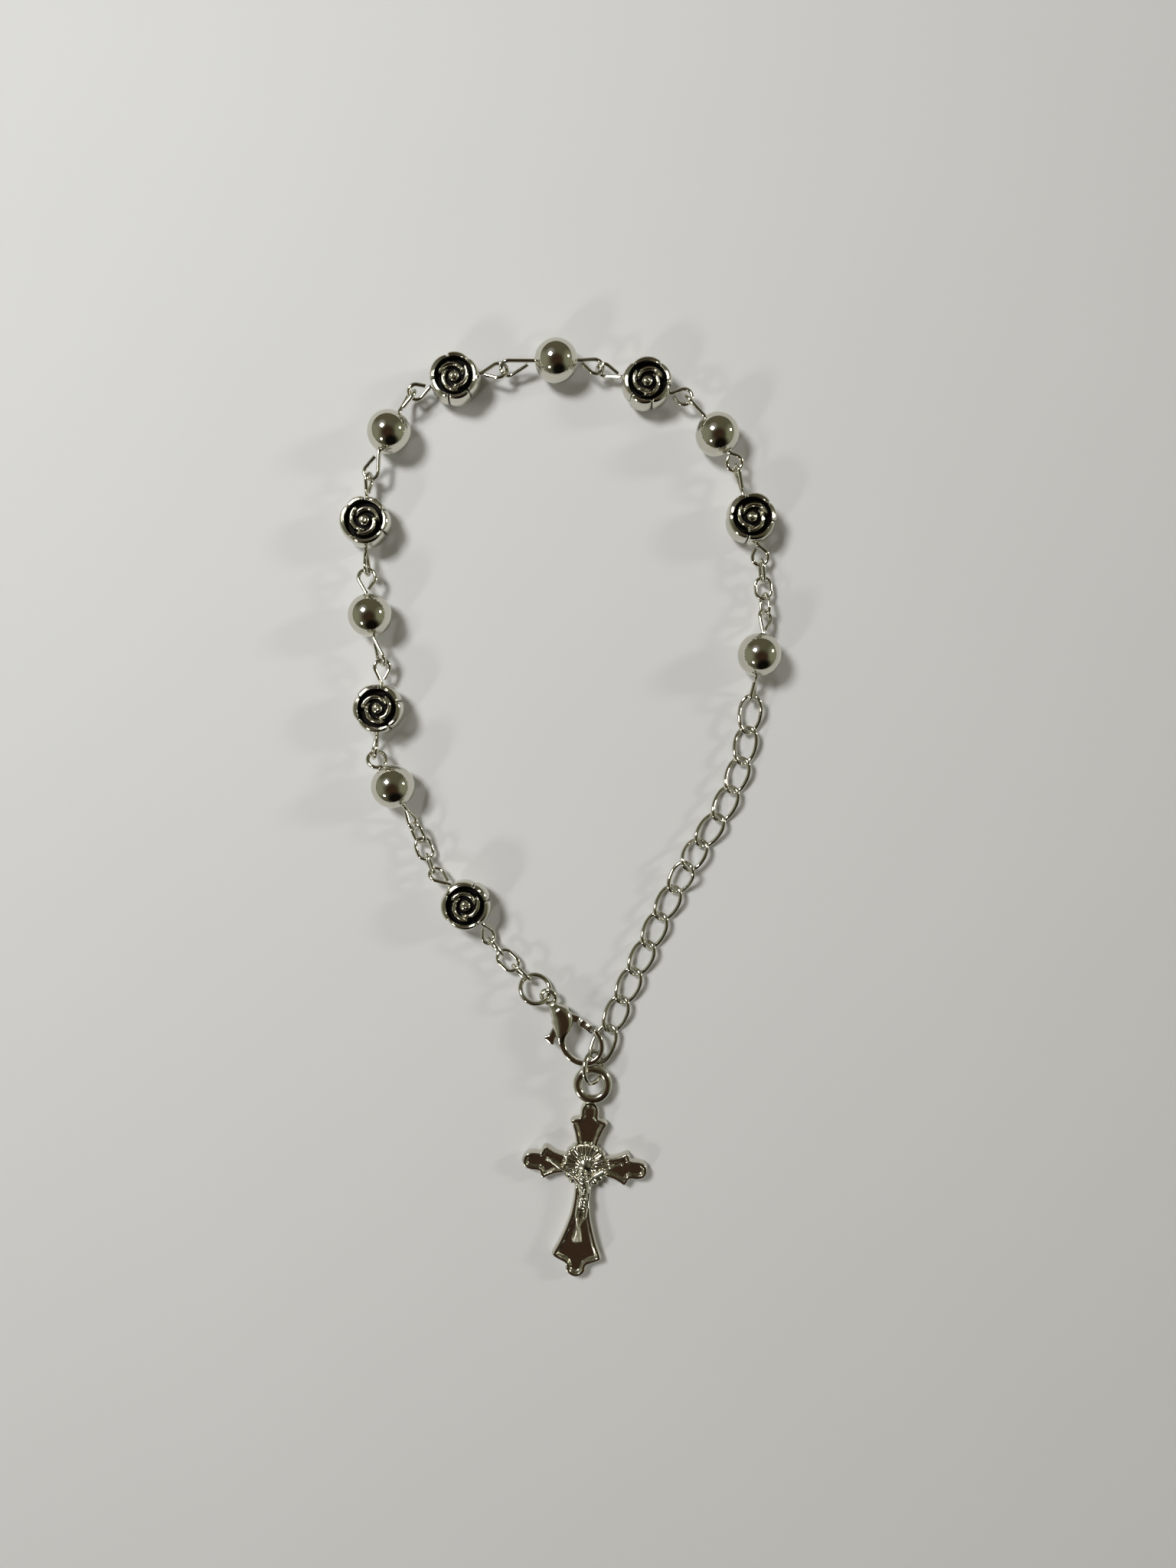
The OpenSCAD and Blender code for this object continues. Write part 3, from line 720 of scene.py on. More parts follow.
def jump_ring(ring, radius):
    """A ring of wire tilted about a level axis, with a narrow saw cut."""
    centre, heading, tilt, size, cut = ring
    a = np.radians(np.linspace(cut + RING_CUT / 2, cut + 360 - RING_CUT / 2, 96))
    tilted = turned(turned(polar(size, a, 0), 0, tilt), 2, heading)
    return wire(tilted + np.array(centre), radius, 20)


def on_clasp(points):
    """Points in the clasp's own frame, brought to where the clasp lies."""
    return turned(turned(points, 1, -CLASP_RISE), 2, CLASP_HEADING) + np.array(EYE_AT)


def swept(line, out, up):
    """A skin along a level line, from how far each point of each section stands to the
    line's left and how high."""
    t = unit(np.gradient(line[:, :2], axis=0))[..., None]
    return loft(np.stack([line[:, :1] - t[:, 1] * out, line[:, 1:2] + t[:, 0] * out, up], -1))


def clasp_skin():
    """The clasp's body and hook: along its middle line a section with a domed top and
    bottom, a broad flank on the thumb's side, high at the spring and low along the hook.
    The section is a circle whose cosine and sine are taken to powers below one."""
    line = smooth_line(CLASP_LINE, 8)
    s = line[:, 0] + np.where(line[:, 1] > 0.9, 20, 0)
    swell = band(s, 1.0, 2.4, 4.6, 6.9)
    height = 0.68 + 0.62 * swell - 0.08 * ramp(line[:, 1], 1.0, 3.2)
    a = full_turn(48)
    box = (0.45 + 0.27 * swell)[:, None]
    x = powered(np.cos(a), box)
    z = powered(np.sin(a), box + 0.23)
    shrink = np.ones(len(line))
    shrink[[0, -1]] = 0.72
    shrink[[1, -2]] = 0.92
    out = (line[:, 2] * shrink)[:, None] * x + (0.24 * swell)[:, None] * np.abs(z)
    return placed(swept(line, out, (height * shrink)[:, None] * z), on_clasp)


def prism(edge, half):
    """A flat outline given a thickness either side of its plane, as one mesh whose two
    ends are single faces, so that an outline with hollows stays clean."""
    edge = np.array(edge, float)
    n = len(edge)
    points = np.vstack([np.column_stack([edge, np.full(n, h)]) for h in (-half, half)])
    k = np.arange(n)
    j = (k + 1) % n
    sides = np.stack([k, j, j + n, k + n], -1).tolist()
    turning = (edge * np.roll(edge[:, ::-1], -1, 0) * [1, -1]).sum()
    ends = [k[::-1].tolist(), (k + n).tolist()]
    faces = sides + ends
    if turning < 0:
        faces = [f[::-1] for f in faces]
    return points, faces


def close_slivers(piece, sharp):
    """Merge corners that lie within a sliver of each other, take out the faces that
    this leaves without an area, and drop faces that nothing joins."""
    shape = bmesh.new()
    shape.from_mesh(piece.data)
    bmesh.ops.remove_doubles(shape, verts=shape.verts, dist=SLIVER)
    bmesh.ops.dissolve_degenerate(shape, edges=shape.edges, dist=SLIVER)
    loose = [face for face in shape.faces if all(edge.is_boundary for edge in face.edges)]
    bmesh.ops.delete(shape, geom=loose, context="FACES")
    shape.to_mesh(piece.data)
    shape.free()
    piece.data.set_sharp_from_angle(angle=math.radians(sharp))


def carve(piece, tools):
    """Cut prisms, given in the clasp's frame, out of a piece, one after another."""
    for points, faces in tools:
        mesh = bpy.data.meshes.new("cutter")
        mesh.from_pydata(((on_clasp(points) - MIDDLE) * MM).tolist(), [], faces)
        cutter = bpy.data.objects.new("cutter", mesh)
        bpy.context.scene.collection.objects.link(cutter)
        cut = piece.modifiers.new("slot", "BOOLEAN")
        cut.object = cutter
        cut.solver = "EXACT"
        cut.use_self = True
        graph = bpy.context.evaluated_depsgraph_get()
        finished = bpy.data.meshes.new_from_object(piece.evaluated_get(graph))
        piece.modifiers.clear()
        piece.data = finished
        bpy.data.objects.remove(cutter)
    close_slivers(piece, SHARP)


def bar(path, width, height, squareness=0.45):
    """A bar along a line in the clasp's plane. Its section is a rounded box: a circle
    whose cosine and sine are taken to the power of the squareness."""
    path = np.array(path, float)
    a = full_turn(28)
    width, height = (np.broadcast_to(v, len(path))[:, None] for v in (width, height))
    return swept(path, width * powered(np.cos(a), squareness),
                 height * powered(np.sin(a), squareness))


def drum(inner, outer, half, ease, sides):
    """A drum about the pivot, with the rims of its outer wall cut back by the ease."""
    outline = [(inner, -half), (outer - ease, -half), (outer, ease - half),
               (outer, half - ease), (outer - ease, half), (inner, half)]
    return placed(turned_solid(outline, sides), lambda p: p + np.array([*PIVOT, 0]))


def lever_shells():
    """The lever: a hub on the pivot, a gate that stands taller once it is clear of the
    body, ribbed by a sine near its end with a lip under the nose, and a thumb tab flared
    at its foot."""
    hub = drum(PIVOT_RADIUS + 0.08, HUB_RADIUS, LEVER_HALF, 0.06, 48)
    along = np.linspace(0.25, GATE_LENGTH, 70)
    ribs = RIB_HEIGHT * np.sin((along - RIBS_FROM) * 2 * np.pi / RIB_PITCH)
    ribs = ribs * (along > RIBS_FROM) * (along < RIBS_TO)
    size = 0.85 + 0.15 * np.clip((GATE_LENGTH - along) / 0.05, 0, 1) ** 0.5
    start = np.array([PIVOT[0], PIVOT[1] + HUB_RADIUS])
    turn = math.radians(GATE_TURN)
    heading = np.array([math.cos(turn), math.sin(turn)])
    across = np.array([-heading[1], heading[0]])
    broad = 0.1 * ramp(along, 0.9, 1.8)
    gate = bar(start + along[:, None] * heading + broad[:, None] * across,
               (0.42 + broad + ribs) * size,
               (LEVER_HALF - 0.03 + 0.2 * ramp(along, 1.9, 2.5) + ribs) * size, 0.3)
    lip_at = np.linspace(4.0, 4.54, 12)[:, None]
    lip = bar(start + lip_at * heading - 0.27 * across, 0.15, LEVER_HALF - 0.05)
    inside = LEVER_HALF - 0.02
    root = bar(smooth_line(ROOT_LINE, 6), np.linspace(0.3, 0.44, 19), inside)
    tab_line = smooth_line(TAB_LINE, 8)
    far = np.linspace(0, 1, len(tab_line))
    flare = 0.02 * far + 0.36 * ramp(far, 0.72, 0.95) - 0.14 * ramp(far, 0.96, 1)
    tab = bar(tab_line, 0.5 + flare, inside * (1 - 0.12 * ramp(far, 0.97, 1)))
    return [placed(s, on_clasp) for s in (hub, root, gate, lip, tab)]


def outline_points(arm):
    """One edge of an arm as a dense line of distance and half width."""
    line = smooth_line(arm, 14)
    line[:, 1] = np.maximum(line[:, 1], 0)
    return line


def edge_distance(x, y, lines):
    """Distance from each point to the nearest point of any of the lines."""
    line = np.vstack(lines)
    d = np.hypot(x.ravel()[:, None] - line[:, 0], y.ravel()[:, None] - line[:, 1])
    return d.min(1).reshape(x.shape)


def arm_skin(arm, turn, lift=0.0):
    """An arm of the cross: sections across it whose top is a recessed field inside a
    rounded rim, both measured from the outline, and whose back is flat. The columns of
    points keep fixed distances from the edge, so the rim's lines stay clean. lift
    raises the tip, where the bail grows out of it."""
    line = outline_points([(0.6, arm[0][1]), (1.6, arm[0][1])] + arm)
    moved = np.linalg.norm(np.diff(line, axis=0), axis=1) > 0.004
    stations = line[np.concatenate([[True], moved])]
    reach = stations[:, 1:]
    fine = np.linspace(RIM_WIDTH - 0.06, RIM_FOOT + 0.02, 12)
    steps = np.array([0, 0.02, 0.06, 0.12, 0.19, 0.26, 0.34, 0.44, *fine, RIM_FOOT + 0.1])
    fit = np.minimum(1, 0.8 * reach / steps[-1])
    near = reach - steps * fit
    inner = near[:, -1:] * np.linspace(1, 0, 10)[1:]
    half = np.concatenate([near, inner], 1)
    y = np.concatenate([-half, half[:, -2::-1]], 1)
    x = np.repeat(stations[:, :1], y.shape[1], 1)
    d = edge_distance(x, y, [line, line * [1, -1]])
    d = np.minimum(d, reach - np.abs(y) + 1e-6)
    round_up = np.sqrt(np.clip(1 - (1 - np.clip(d / RIM_BEVEL, 0, 1)) ** 2, 0, 1))
    crown = 0.05 * (np.clip((d - 0.4) / 0.4, -1, 1)) ** 2
    rim = SIDE_HEIGHT + (RIM_HEIGHT - SIDE_HEIGHT) * round_up - crown
    drop = (RIM_HEIGHT - FIELD_HEIGHT) * ramp(d, RIM_WIDTH - 0.04, RIM_FOOT)
    under_disc = 1 - ramp(x, 2.4, 3.2)
    top = rim - drop - under_disc * 0.45 * round_up + lift * ramp(x, 8.0, 8.9) * round_up
    round_down = np.sqrt(np.clip(1 - (1 - np.clip(d / 0.2, 0, 1)) ** 2, 0, 1))
    low = SIDE_HEIGHT * (1 - round_down)
    rings = np.concatenate([np.stack([x, y, top], -1),
                            np.stack([x, y, low], -1)[:, -2:0:-1]], 1)
    return placed(loft(rings), lambda p: turned(p, 2, turn))


def rayed_disc():
    """The disc behind the head: rounded rays with narrow valleys between them, which
    follow the cosine's size to the power 0.75, run up a smooth low cone in the middle
    and roll over at the edge."""
    a = full_turn(400)
    ray = np.abs(np.cos(a * DISC_RAYS / 2)) ** 0.75
    edge = DISC_EDGE + RAY_REACH * ray
    v = np.linspace(0.02, 1, 60)[:, None]
    r = v * edge
    rise = RAY_RISE * ray * ramp(r, 0.7, 1.8)
    dome = CONE_RISE * np.clip(1.5 - np.sqrt(r ** 2 + 0.09), 0.08, None)
    roll = 0.36 * (1 - np.sqrt(1 - np.clip((v - 0.8) / 0.2, 0, 1) ** 2))
    return loft(np.concatenate([
        polar(r, a, DISC_TOP + dome + rise - roll),
        polar(edge + 0.03, a, np.linspace(1.05, 0.2, 4)[:, None]),
        polar(r[::-8], a, 0.1)]))


def bump_of(x, y, a, b, ra, rb, za, zb, base=0.9):
    """Height of a tapered limb from a to b: half an ellipse across it, from the base
    up to a crest that runs from za to zb, falling steeply away outside."""
    ax, ay = b[0] - a[0], b[1] - a[1]
    t = np.clip(((x - a[0]) * ax + (y - a[1]) * ay) / (ax * ax + ay * ay), 0, 1)
    radius = ra + (rb - ra) * t
    d = np.hypot(x - a[0] - t * ax, y - a[1] - t * ay)
    dome = np.sqrt(np.clip(1 - (d / radius) ** 2, 0, None))
    return base + (za + (zb - za) * t - base) * dome - 2.5 * np.clip(d - radius, 0, None)


def melt(heights, soft):
    """The highest of several heights, with the valleys between them filled smoothly:
    soft times the logarithm of the summed exponentials."""
    h = np.stack(heights)
    top = h.max(0)
    return top + soft * np.log(np.exp((h - top) / soft).sum(0))


def calm_head(x, y, tilt):
    """A head in relief by the drawing-book rule: eyes halfway down, nose a quarter
    below them, mouth a third of the way from nose to chin, hair and beard in waves."""
    c, s = math.cos(math.radians(tilt)), math.sin(math.radians(tilt))
    u, v = c * x + s * y, -s * x + c * y
    low = -0.3

    def mark(width, height, up, across=0.0):
        return bell(u - across, width) * bell(v - up, height)

    def eyes(width, height, up):
        return mark(width, height, up, -0.25) + mark(width, height, up, 0.25)

    face = 0.62 * np.sqrt(np.clip(1 - (u / 0.6) ** 2 - (v / 0.95) ** 2, 0, None))
    hair = bump_of(u, v, (-0.1, 0.42), (0.1, 0.42), 0.64, 0.64, 0.62, 0.62, low)
    locks = np.maximum(*(bump_of(u, v, (0.56 * side, 0.3), (0.64 * side, -0.9),
                                 0.26, 0.22, 0.42, 0.3, low) for side in (-1, 1)))
    waves = 0.035 * np.sin(18 * v + 6 * np.abs(u))
    beard = bump_of(u, v, (0, -0.6), (0, -0.98), 0.42, 0.24, 0.5, 0.3, low)
    nose = 0.16 * bell(u, 0.085) * band(v, -0.32, -0.22, 0.02, 0.16)
    inner = face + nose - 0.13 * eyes(0.16, 0.09, 0.02)
    inner = inner + 0.07 * eyes(0.11, 0.045, -0.01) + 0.04 * eyes(0.2, 0.05, 0.16)
    inner = inner - 0.07 * mark(0.17, 0.03, -0.45) + 0.03 * mark(0.14, 0.04, -0.52)
    outside = -2.5 * np.clip(np.hypot(u / 0.62, v / 0.97) - 1, 0, None)
    return melt([inner + outside, hair + waves, locks + waves,
                 beard + 0.02 * np.sin(30 * u)], 0.035)


def figure_relief(x, y):
    """Height of the whole figure over the cross's back: head, neck, chest with its
    ribs, belly, arms and hands, cloth with slanting folds, legs, feet and the ribbed
    rest below them."""
    def limb(*row):
        return bump_of(x, y, *row)

    chest = limb((0.04, -2.6), (0.18, -3.4), 1.08, 0.94, 2.25, 2.25)
    chest = chest - 0.06 * bell(x - 0.1, 0.1) * band(y, -4.3, -3.9, -2.6, -2.2)
    ribs = 0.035 * np.sin(11 * y - 3 * np.abs(x)) * band(y, -4.0, -3.7, -2.9, -2.6)
    parts = [chest + ribs, limb((0.16, -3.4), (0.12, -4.5), 0.86, 0.84, 2.1, 2.15),
             limb((-0.16, -1.8), (-0.02, -2.4), 0.42, 0.5, 2.15, 2.1)]
    for arm in ARMS:
        for a, b in zip(arm, arm[1:]):
            parts.append(limb(a[:2], b[:2], a[2], b[2], a[3], b[3]))
        hand_x, hand_y = arm[-1][:2]
        tips_x = hand_x + math.copysign(0.45, hand_x)
        for spread in (-0.18, 0.0, 0.18):
            parts.append(limb((hand_x, hand_y + spread / 2), (tips_x, hand_y + spread),
                              0.11, 0.08, 1.6, 1.5))
    body = melt(parts + [limb(*row) for row in LEGS], 0.03)
    head = HEAD_RISE + calm_head(x - HEAD_AT[0], y - HEAD_AT[1], HEAD_TILT)
    folds = 0.06 * np.sin(13 * (y + 0.6 * x)) * band(y, -6.4, -5.9, -4.4, -4.1)
    cloth = limb((0.14, -4.6), (0.08, -5.6), 0.96, 1.06, 2.2, 2.24) + folds
    knot = limb((0.92, -4.7), (1.08, -5.7), 0.3, 0.24, 2.2, 2.0)
    chevron = np.cos(2 * np.pi * (y - 0.4 * np.abs(x + 0.16)) / 0.42)
    rest = limb((-0.14, -8.8), (-0.18, -10.3), 0.46, 0.82, 1.62, 1.72)
    rest = rest + 0.07 * chevron * band(y, -11.0, -10.6, -8.6, -8.4)
    rest = rest - 0.08 * bell(x + 0.16, 0.07)
    return melt([body, head, cloth, knot, rest], 0.025)


def relief_shell():
    """The figure as one shell: a fine grid over it, kept where the figure stands higher
    than a level hidden inside the cross, with a floor below and walls between the two."""
    step, hidden = 0.034, 0.85
    xs, ys = np.arange(-5.5, 5.5, step), np.arange(-11.4, 0.9, step)
    x, y = np.meshgrid(xs, ys)
    z = figure_relief(x, y)
    high = z > hidden + 0.02
    cell = high[:-1, :-1] | high[1:, :-1] | high[:-1, 1:] | high[1:, 1:]
    index = np.arange(x.size).reshape(x.shape)
    corner = [index[:-1, :-1], index[:-1, 1:], index[1:, 1:], index[1:, :-1]]
    top = np.stack([c[cell] for c in corner], -1)
    solid = np.pad(cell, 1)
    walls = []
    beside = [solid[:-2, 1:-1], solid[1:-1, 2:], solid[2:, 1:-1], solid[1:-1, :-2]]
    for k in range(4):
        open_side = cell & ~beside[k]
        a, b = corner[k][open_side], corner[(k + 1) % 4][open_side]
        walls.append(np.stack([a, a + x.size, b + x.size, b], -1))
    quads = np.vstack([top, top[:, ::-1] + x.size, *walls])
    points = np.vstack([np.stack([x.ravel(), y.ravel(), np.maximum(z, hidden).ravel()], -1),
                        np.stack([x.ravel(), y.ravel(), np.full(x.size, hidden - 0.15)], -1)])
    used, quads = np.unique(quads, return_inverse=True)
    return [points[used], quads.reshape(-1, 4), np.zeros((0, 3), int)]


def on_cross(points):
    """Points in the crucifix's own frame, brought to where it lies."""
    return turned(points, 2, CROSS_TURN) + np.array(CROSS_AT)


class BeadSizes(bpy.types.PropertyGroup):
    """Sizes of the round beads and the roses."""

    diameter: bpy.props.FloatProperty(
        name="Round bead", description="Diameter of a round bead",
        default=HIGH[2] - LOW[2],
        unit="LENGTH", precision=5)
    bore: bpy.props.FloatProperty(
        name="Hole", description="Diameter of a round bead's hole",
        default=0.84 * MM, unit="LENGTH", precision=5)


class WireSizes(bpy.types.PropertyGroup):
    """Thicknesses and widths of everything bent from wire."""

    pin: bpy.props.FloatProperty(
        name="Eye pin", description="Wire of the eye pins",
        default=0.55 * MM, unit="LENGTH", precision=5)
    link: bpy.props.FloatProperty(
        name="Short link", description="Wire of the short chains",
        default=0.5 * MM, unit="LENGTH", precision=5)
    link_width: bpy.props.FloatProperty(
        name="Short link width", description="Width of a short link between wire middles",
        default=2.1 * MM, unit="LENGTH", precision=5)
    curb: bpy.props.FloatProperty(
        name="Curb link", description="Wire of the extension chain",
        default=0.58 * MM, unit="LENGTH", precision=5)
    curb_width: bpy.props.FloatProperty(
        name="Curb link width", description="Width of a curb link between wire middles",
        default=2.95 * MM, unit="LENGTH", precision=5)
    clasp_ring: bpy.props.FloatProperty(
        name="Clasp ring", description="Wire of the ring at the clasp",
        default=0.7 * MM, unit="LENGTH", precision=5)
    pendant_ring: bpy.props.FloatProperty(
        name="Pendant ring", description="Wire of the ring that carries the crucifix",
        default=0.65 * MM, unit="LENGTH", precision=5)


class Finish(bpy.types.PropertyGroup):
    """Colour and polish of the plating."""

    colour: bpy.props.FloatVectorProperty(
        name="Plating", description="Colour the plating reflects",
        subtype="COLOR", size=3, default=(0.68, 0.66, 0.57), min=0, max=1)
    roughness: bpy.props.FloatProperty(
        name="Roughness", description="How dull the plating is",
        subtype="FACTOR", default=0.06, min=0, max=1)


class StageLook(bpy.types.PropertyGroup):
    """Paper and lamps."""

    paper: bpy.props.FloatVectorProperty(
        name="Paper", description="Colour of the paper",
        subtype="COLOR", size=3, default=(0.8, 0.802, 0.81), min=0, max=1)
    main_power: bpy.props.FloatProperty(
        name="Main lamp", description="Power of the main lamp",
        default=1.45, min=0, unit="POWER")


class BRACELET_OT_beads(bpy.types.Operator):
    """Build the six round beads"""

    bl_idname = "bracelet.beads"
    bl_label = "Round beads"

    def execute(self, context):
        size = context.scene.bracelet_beads
        for index in range(1, len(BEADS), 2):
            node = node_of(index)
            shell = round_bead(index, size.diameter / 2 / MM, size.bore / 2 / MM)
            add_piece("round_" + node, [shell], [node])
        return {"FINISHED"}


class BRACELET_OT_roses(bpy.types.Operator):
    """Build the six rose beads"""

    bl_idname = "bracelet.roses"
    bl_label = "Rose beads"

    def execute(self, context):
        for index in range(0, len(BEADS), 2):
            node = node_of(index)
            shell, stain = rose(index)
            add_piece("flower_" + node, [shell], [node], "rose_silver", sharp=ALL_SMOOTH,
                      stain=stain)
        return {"FINISHED"}


class BRACELET_OT_pins(bpy.types.Operator):
    """Build the eye pins through the beads"""

    bl_idname = "bracelet.pins"
    bl_label = "Eye pins"

    def execute(self, context):
        radius = context.scene.bracelet_wires.pin / 2 / MM
        for index in range(len(BEADS)):
            node = "pin_%d" % (index + 1)
            add_piece("eye_" + node, [eye_pin(index, radius)], [node])
        return {"FINISHED"}


class BRACELET_OT_short_chains(bpy.types.Operator):
    """Build the three short cable chains"""

    bl_idname = "bracelet.short_chains"
    bl_label = "Short chains"

    def execute(self, context):
        size = context.scene.bracelet_wires
        for node, (points, rolls) in SHORT_CHAINS.items():
            links = [short_link(points[k], points[k + 1], rolls[k], size.link_width / MM,
                                size.link / 2 / MM) for k in range(len(rolls))]
            add_piece("links_" + node, links, [node])
        return {"FINISHED"}


class BRACELET_OT_extension(bpy.types.Operator):
    """Build the curb extension chain"""

    bl_idname = "bracelet.extension"
    bl_label = "Extension chain"

    def execute(self, context):
        size = context.scene.bracelet_wires
        count = len(CURB_POINTS) - 1
        links = []
        for k in range(count):
            last = k == count - 1
            links.append(curb_link(CURB_POINTS[k], CURB_POINTS[k + 1],
                                   LAST_ROLL if last else 0,
                                   LAST_TWIST if last else CURB_TWIST,
                                   size.curb_width / MM, size.curb / 2 / MM))
        add_piece("links_extension", links, ["extension_chain"])
        return {"FINISHED"}


class BRACELET_OT_rings(bpy.types.Operator):
    """Build the two jump rings"""

    bl_idname = "bracelet.rings"
    bl_label = "Jump rings"

    def execute(self, context):
        size = context.scene.bracelet_wires
        for node, ring, thick in (("clasp_ring", CLASP_RING, size.clasp_ring),
                                  ("pendant_ring", PENDANT_RING, size.pendant_ring)):
            add_piece("jump_" + node, [jump_ring(ring, thick / 2 / MM)], [node])
        return {"FINISHED"}


class BRACELET_OT_clasp(bpy.types.Operator):
    """Build the clasp's body with its eye, and its lever"""

    bl_idname = "bracelet.clasp"
    bl_label = "Lobster clasp"

    def execute(self, context):
        eye = turned(turned(polar(EYE_RADIUS, full_turn(72), 0), 0, EYE_TILT), 2, EYE_AXIS)
        eye = placed(wire(eye, EYE_WIRE, 18, True), on_clasp)
        rivet = placed(drum(0.001, PIVOT_RADIUS, PIVOT_HALF, 0.04, 32), on_clasp)
        shell = add_piece("clasp_shell", [clasp_skin()], ["clasp_body"])
        seat = polar(HUB_SEAT, full_turn(64), 0)[:, :2] + PIVOT
        carve(shell, [prism(SLOT_EDGE, SLOT_HALF), prism(seat, SLOT_HALF)])
        add_piece("clasp_eye", [eye, rivet], ["clasp_body"])
        add_piece("lever_gate", lever_shells(), ["clasp_lever"], body="lever")
        return {"FINISHED"}


class BRACELET_OT_crucifix(bpy.types.Operator):
    """Build the crucifix: cross, rayed disc, bail and figure"""

    bl_idname = "bracelet.crucifix"
    bl_label = "Crucifix"

    def execute(self, context):
        arms = [arm_skin(ARM_SIDE, 0), arm_skin(ARM_UP, 90, 0.3), arm_skin(ARM_SIDE, 180),
                arm_skin(ARM_DOWN, 270)]
        circle = polar(BAIL_RADIUS, full_turn(96), 0) + [0, BAIL_Y, 0]
        bail = placed(wire(circle, BAIL_WIRE, 24, True),
                      lambda p: p * [1, 1, BAIL_FLATTENED] + [0, 0, BAIL_HEIGHT])
        neck = wire(np.linspace(*NECK, 8), BAIL_WIRE, 20)
        for name, shells, sharp in (("cast", [*arms, bail, neck], CAST_SHARP),
                                    ("disc", [rayed_disc()], CAST_SHARP),
                                    ("figure", [relief_shell()], FIGURE_SHARP)):
            piece = add_piece("crucifix_" + name, [placed(s, on_cross) for s in shells],
                              ["crucifix"], "crucifix_silver", sharp=sharp)
            if name == "cast":
                close_slivers(piece, sharp)
        return {"FINISHED"}


def paper_finish(colour):
    """Matt paper: a soft blotchy tone, and a fine tooth from a close noise."""
    made, tree = new_material("paper")
    tone = blend(tree, noise(tree, 25, 3), (*(c * 0.97 for c in colour), 1), (*colour, 1))
    feed(tree, tree.nodes["Principled BSDF"], {
        "Roughness": 0.9, "Specular IOR Level": 0.2, "Base Color": tone,
        "Normal": bump(tree, noise(tree, 900, 5), 0.25, 0.05 * MM)})
    return made


def direction(zenith, azimuth):
    """A unit vector from its angle off straight up and its compass angle from +X."""
    z, a = math.radians(zenith), math.radians(azimuth)
    return np.array([math.sin(z) * math.cos(a), math.sin(z) * math.sin(a), math.cos(z)])


def lamp(name, zenith, azimuth, distance, size, power, colour):
    """A square soft lamp that faces the middle of the bracelet. Sizes are metres."""
    light = bpy.data.lights.new(name, "AREA")
    light.size = size
    light.energy = power
    light.color = colour
    holder = bpy.data.objects.new(name, light)
    way = direction(zenith, azimuth)
    holder.location = way * distance
    holder.rotation_euler = Vector(-way).to_track_quat("-Z", "Y").to_euler()
    bpy.context.scene.collection.objects.link(holder)


def room(world):
    """The dim room: its colour, over which the patches are laid in turn, each fading out
    by a smooth step of the cosine of the angle from its own direction."""
    world.use_nodes = True
    tree = world.node_tree
    tree.nodes.clear()
    where = add_node(tree, "ShaderNodeTexCoord", {})["Generated"]
    last = (*ROOM_COLOUR, 1)
    for zenith, azimuth, inner, outer, colour in ROOM_PATCHES:
        aim = add_node(tree, "ShaderNodeVectorMath", {0: where, 1: direction(zenith, azimuth)},
                       operation="DOT_PRODUCT")["Value"]
        fade = map_range(tree, {"Value": aim, "From Min": math.cos(math.radians(outer)),
                                "From Max": math.cos(math.radians(inner))}, "SMOOTHSTEP")
        last = blend(tree, fade, last, (*colour, 1))
    sky = add_node(tree, "ShaderNodeBackground", {"Color": last})[0]
    add_node(tree, "ShaderNodeOutputWorld", {"Surface": sky})


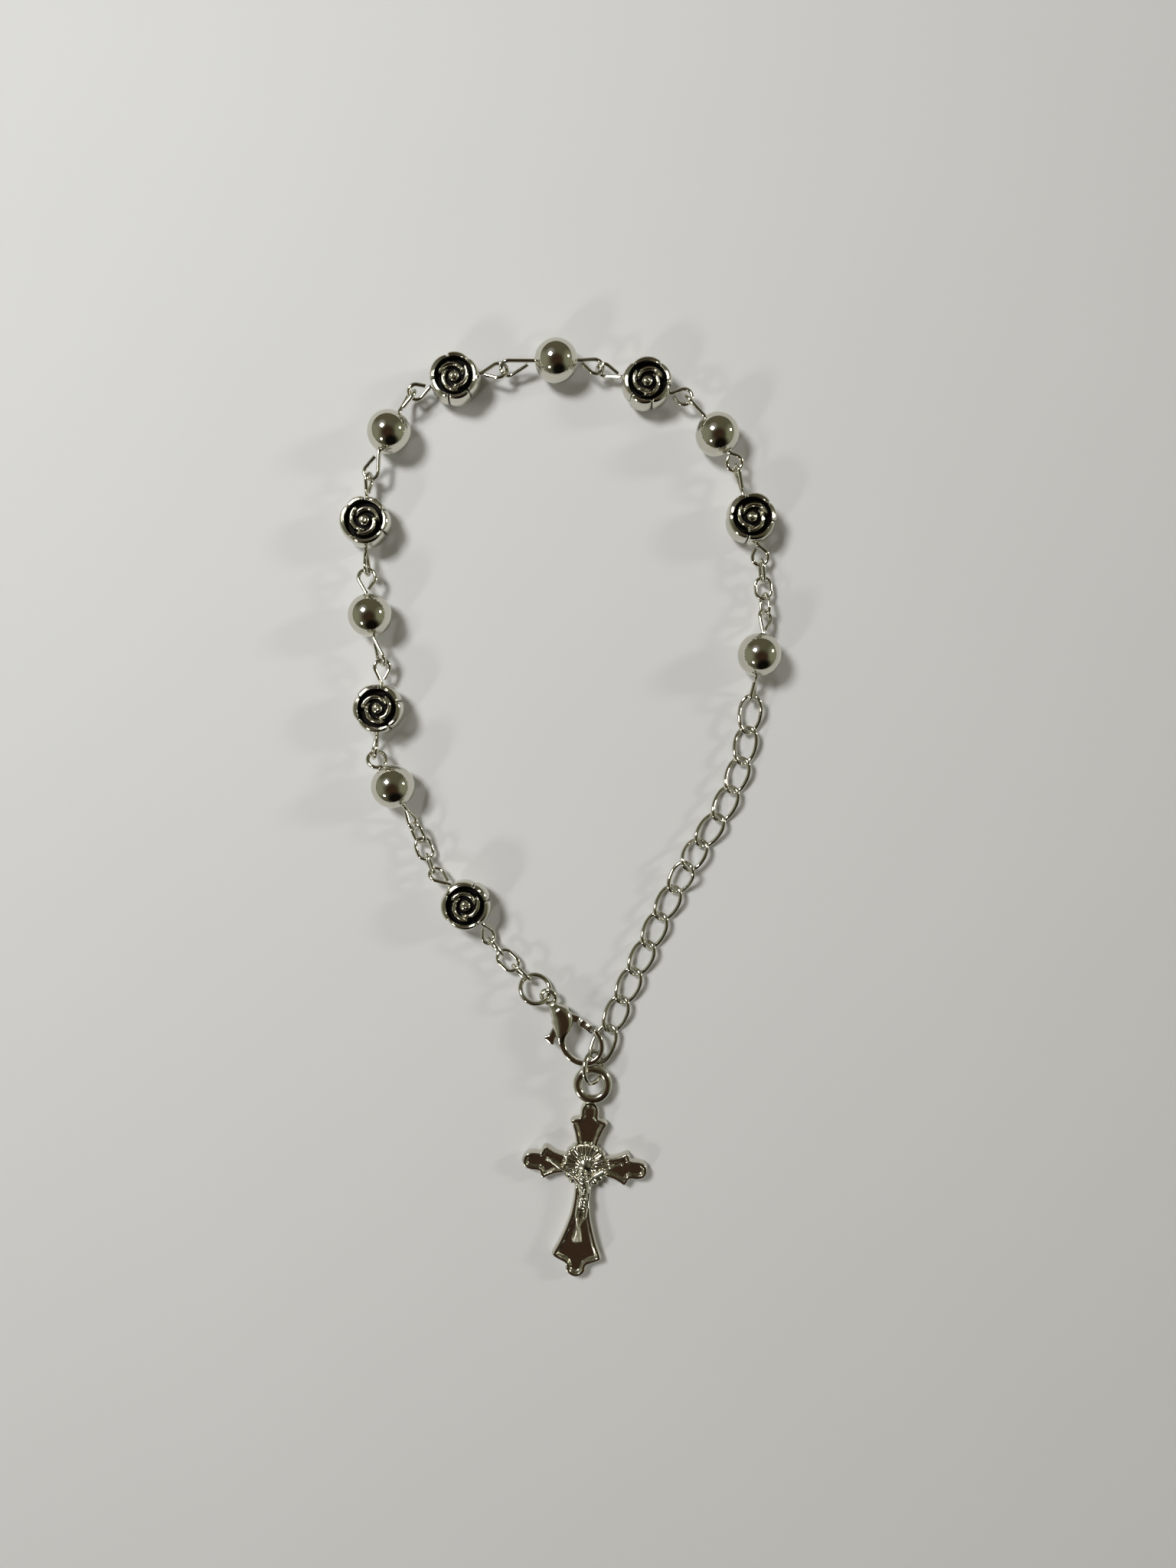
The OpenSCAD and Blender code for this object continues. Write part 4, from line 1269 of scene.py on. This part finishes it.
class BRACELET_OT_stage(bpy.types.Operator):
    """Build the paper, the lamps, the room and the camera"""

    bl_idname = "bracelet.stage"
    bl_label = "Stage"

    def execute(self, context):
        look = context.scene.bracelet_stage
        corners = [(-1, -1, 0), (1, -1, 0), (1, 1, 0), (-1, 1, 0)]
        mesh = bpy.data.meshes.new("paper")
        mesh.from_pydata([[c * PAPER_HALF for c in corner] for corner in corners], [],
                         [(0, 1, 2, 3)])
        mesh.materials.append(paper_finish(tuple(look.paper)))
        paper = bpy.data.objects.new("paper", mesh)
        context.scene.collection.objects.link(paper)
        for name, (zenith, azimuth, distance, size, share, colour) in LAMPS.items():
            lamp(name, zenith, azimuth, distance, size, look.main_power * share, colour)
        context.scene.world = bpy.data.worlds.new("room")
        room(context.scene.world)
        lens = bpy.data.cameras.new("camera")
        lens.sensor_width = SENSOR
        lens.lens = FOCAL_PIXELS / LONG_SIDE_PIXELS * SENSOR
        lens.clip_start = 0.005
        holder = bpy.data.objects.new("camera", lens)
        holder.location = (np.array([0, 0, CAMERA_HEIGHT]) - MIDDLE) * MM
        context.scene.collection.objects.link(holder)
        context.scene.camera = holder
        context.scene.view_settings.view_transform = "Standard"
        return {"FINISHED"}


class BRACELET_PT_panel(bpy.types.Panel):
    """Lists the builders in the sidebar"""

    bl_label = "Bracelet"
    bl_idname = "BRACELET_PT_panel"
    bl_space_type = "VIEW_3D"
    bl_region_type = "UI"
    bl_category = "Bracelet"

    def draw(self, context):
        for group in GROUPS:
            settings = getattr(context.scene, group)
            for name in settings.__annotations__:
                self.layout.prop(settings, name)
        for operator in OPERATORS:
            self.layout.operator(operator.bl_idname)


GROUPS = {
    "bracelet_beads": BeadSizes,
    "bracelet_wires": WireSizes,
    "bracelet_finish": Finish,
    "bracelet_stage": StageLook,
}
OPERATORS = [
    BRACELET_OT_stage, BRACELET_OT_beads, BRACELET_OT_roses, BRACELET_OT_pins,
    BRACELET_OT_short_chains, BRACELET_OT_extension, BRACELET_OT_rings,
    BRACELET_OT_clasp, BRACELET_OT_crucifix,
]


def register():
    """Register the settings, the operators and the panel."""
    for name, group in GROUPS.items():
        bpy.utils.register_class(group)
        setattr(bpy.types.Scene, name, bpy.props.PointerProperty(type=group))
    for kind in [*OPERATORS, BRACELET_PT_panel]:
        bpy.utils.register_class(kind)


def unregister():
    """Take away what register added."""
    for kind in [BRACELET_PT_panel, *reversed(OPERATORS)]:
        bpy.utils.unregister_class(kind)
    for name, group in GROUPS.items():
        delattr(bpy.types.Scene, name)
        bpy.utils.unregister_class(group)


def main():
    """Build every piece in order."""
    register()
    for operator in OPERATORS:
        family, name = operator.bl_idname.split(".")
        getattr(getattr(bpy.ops, family), name)()


if __name__ == "__main__":
    main()
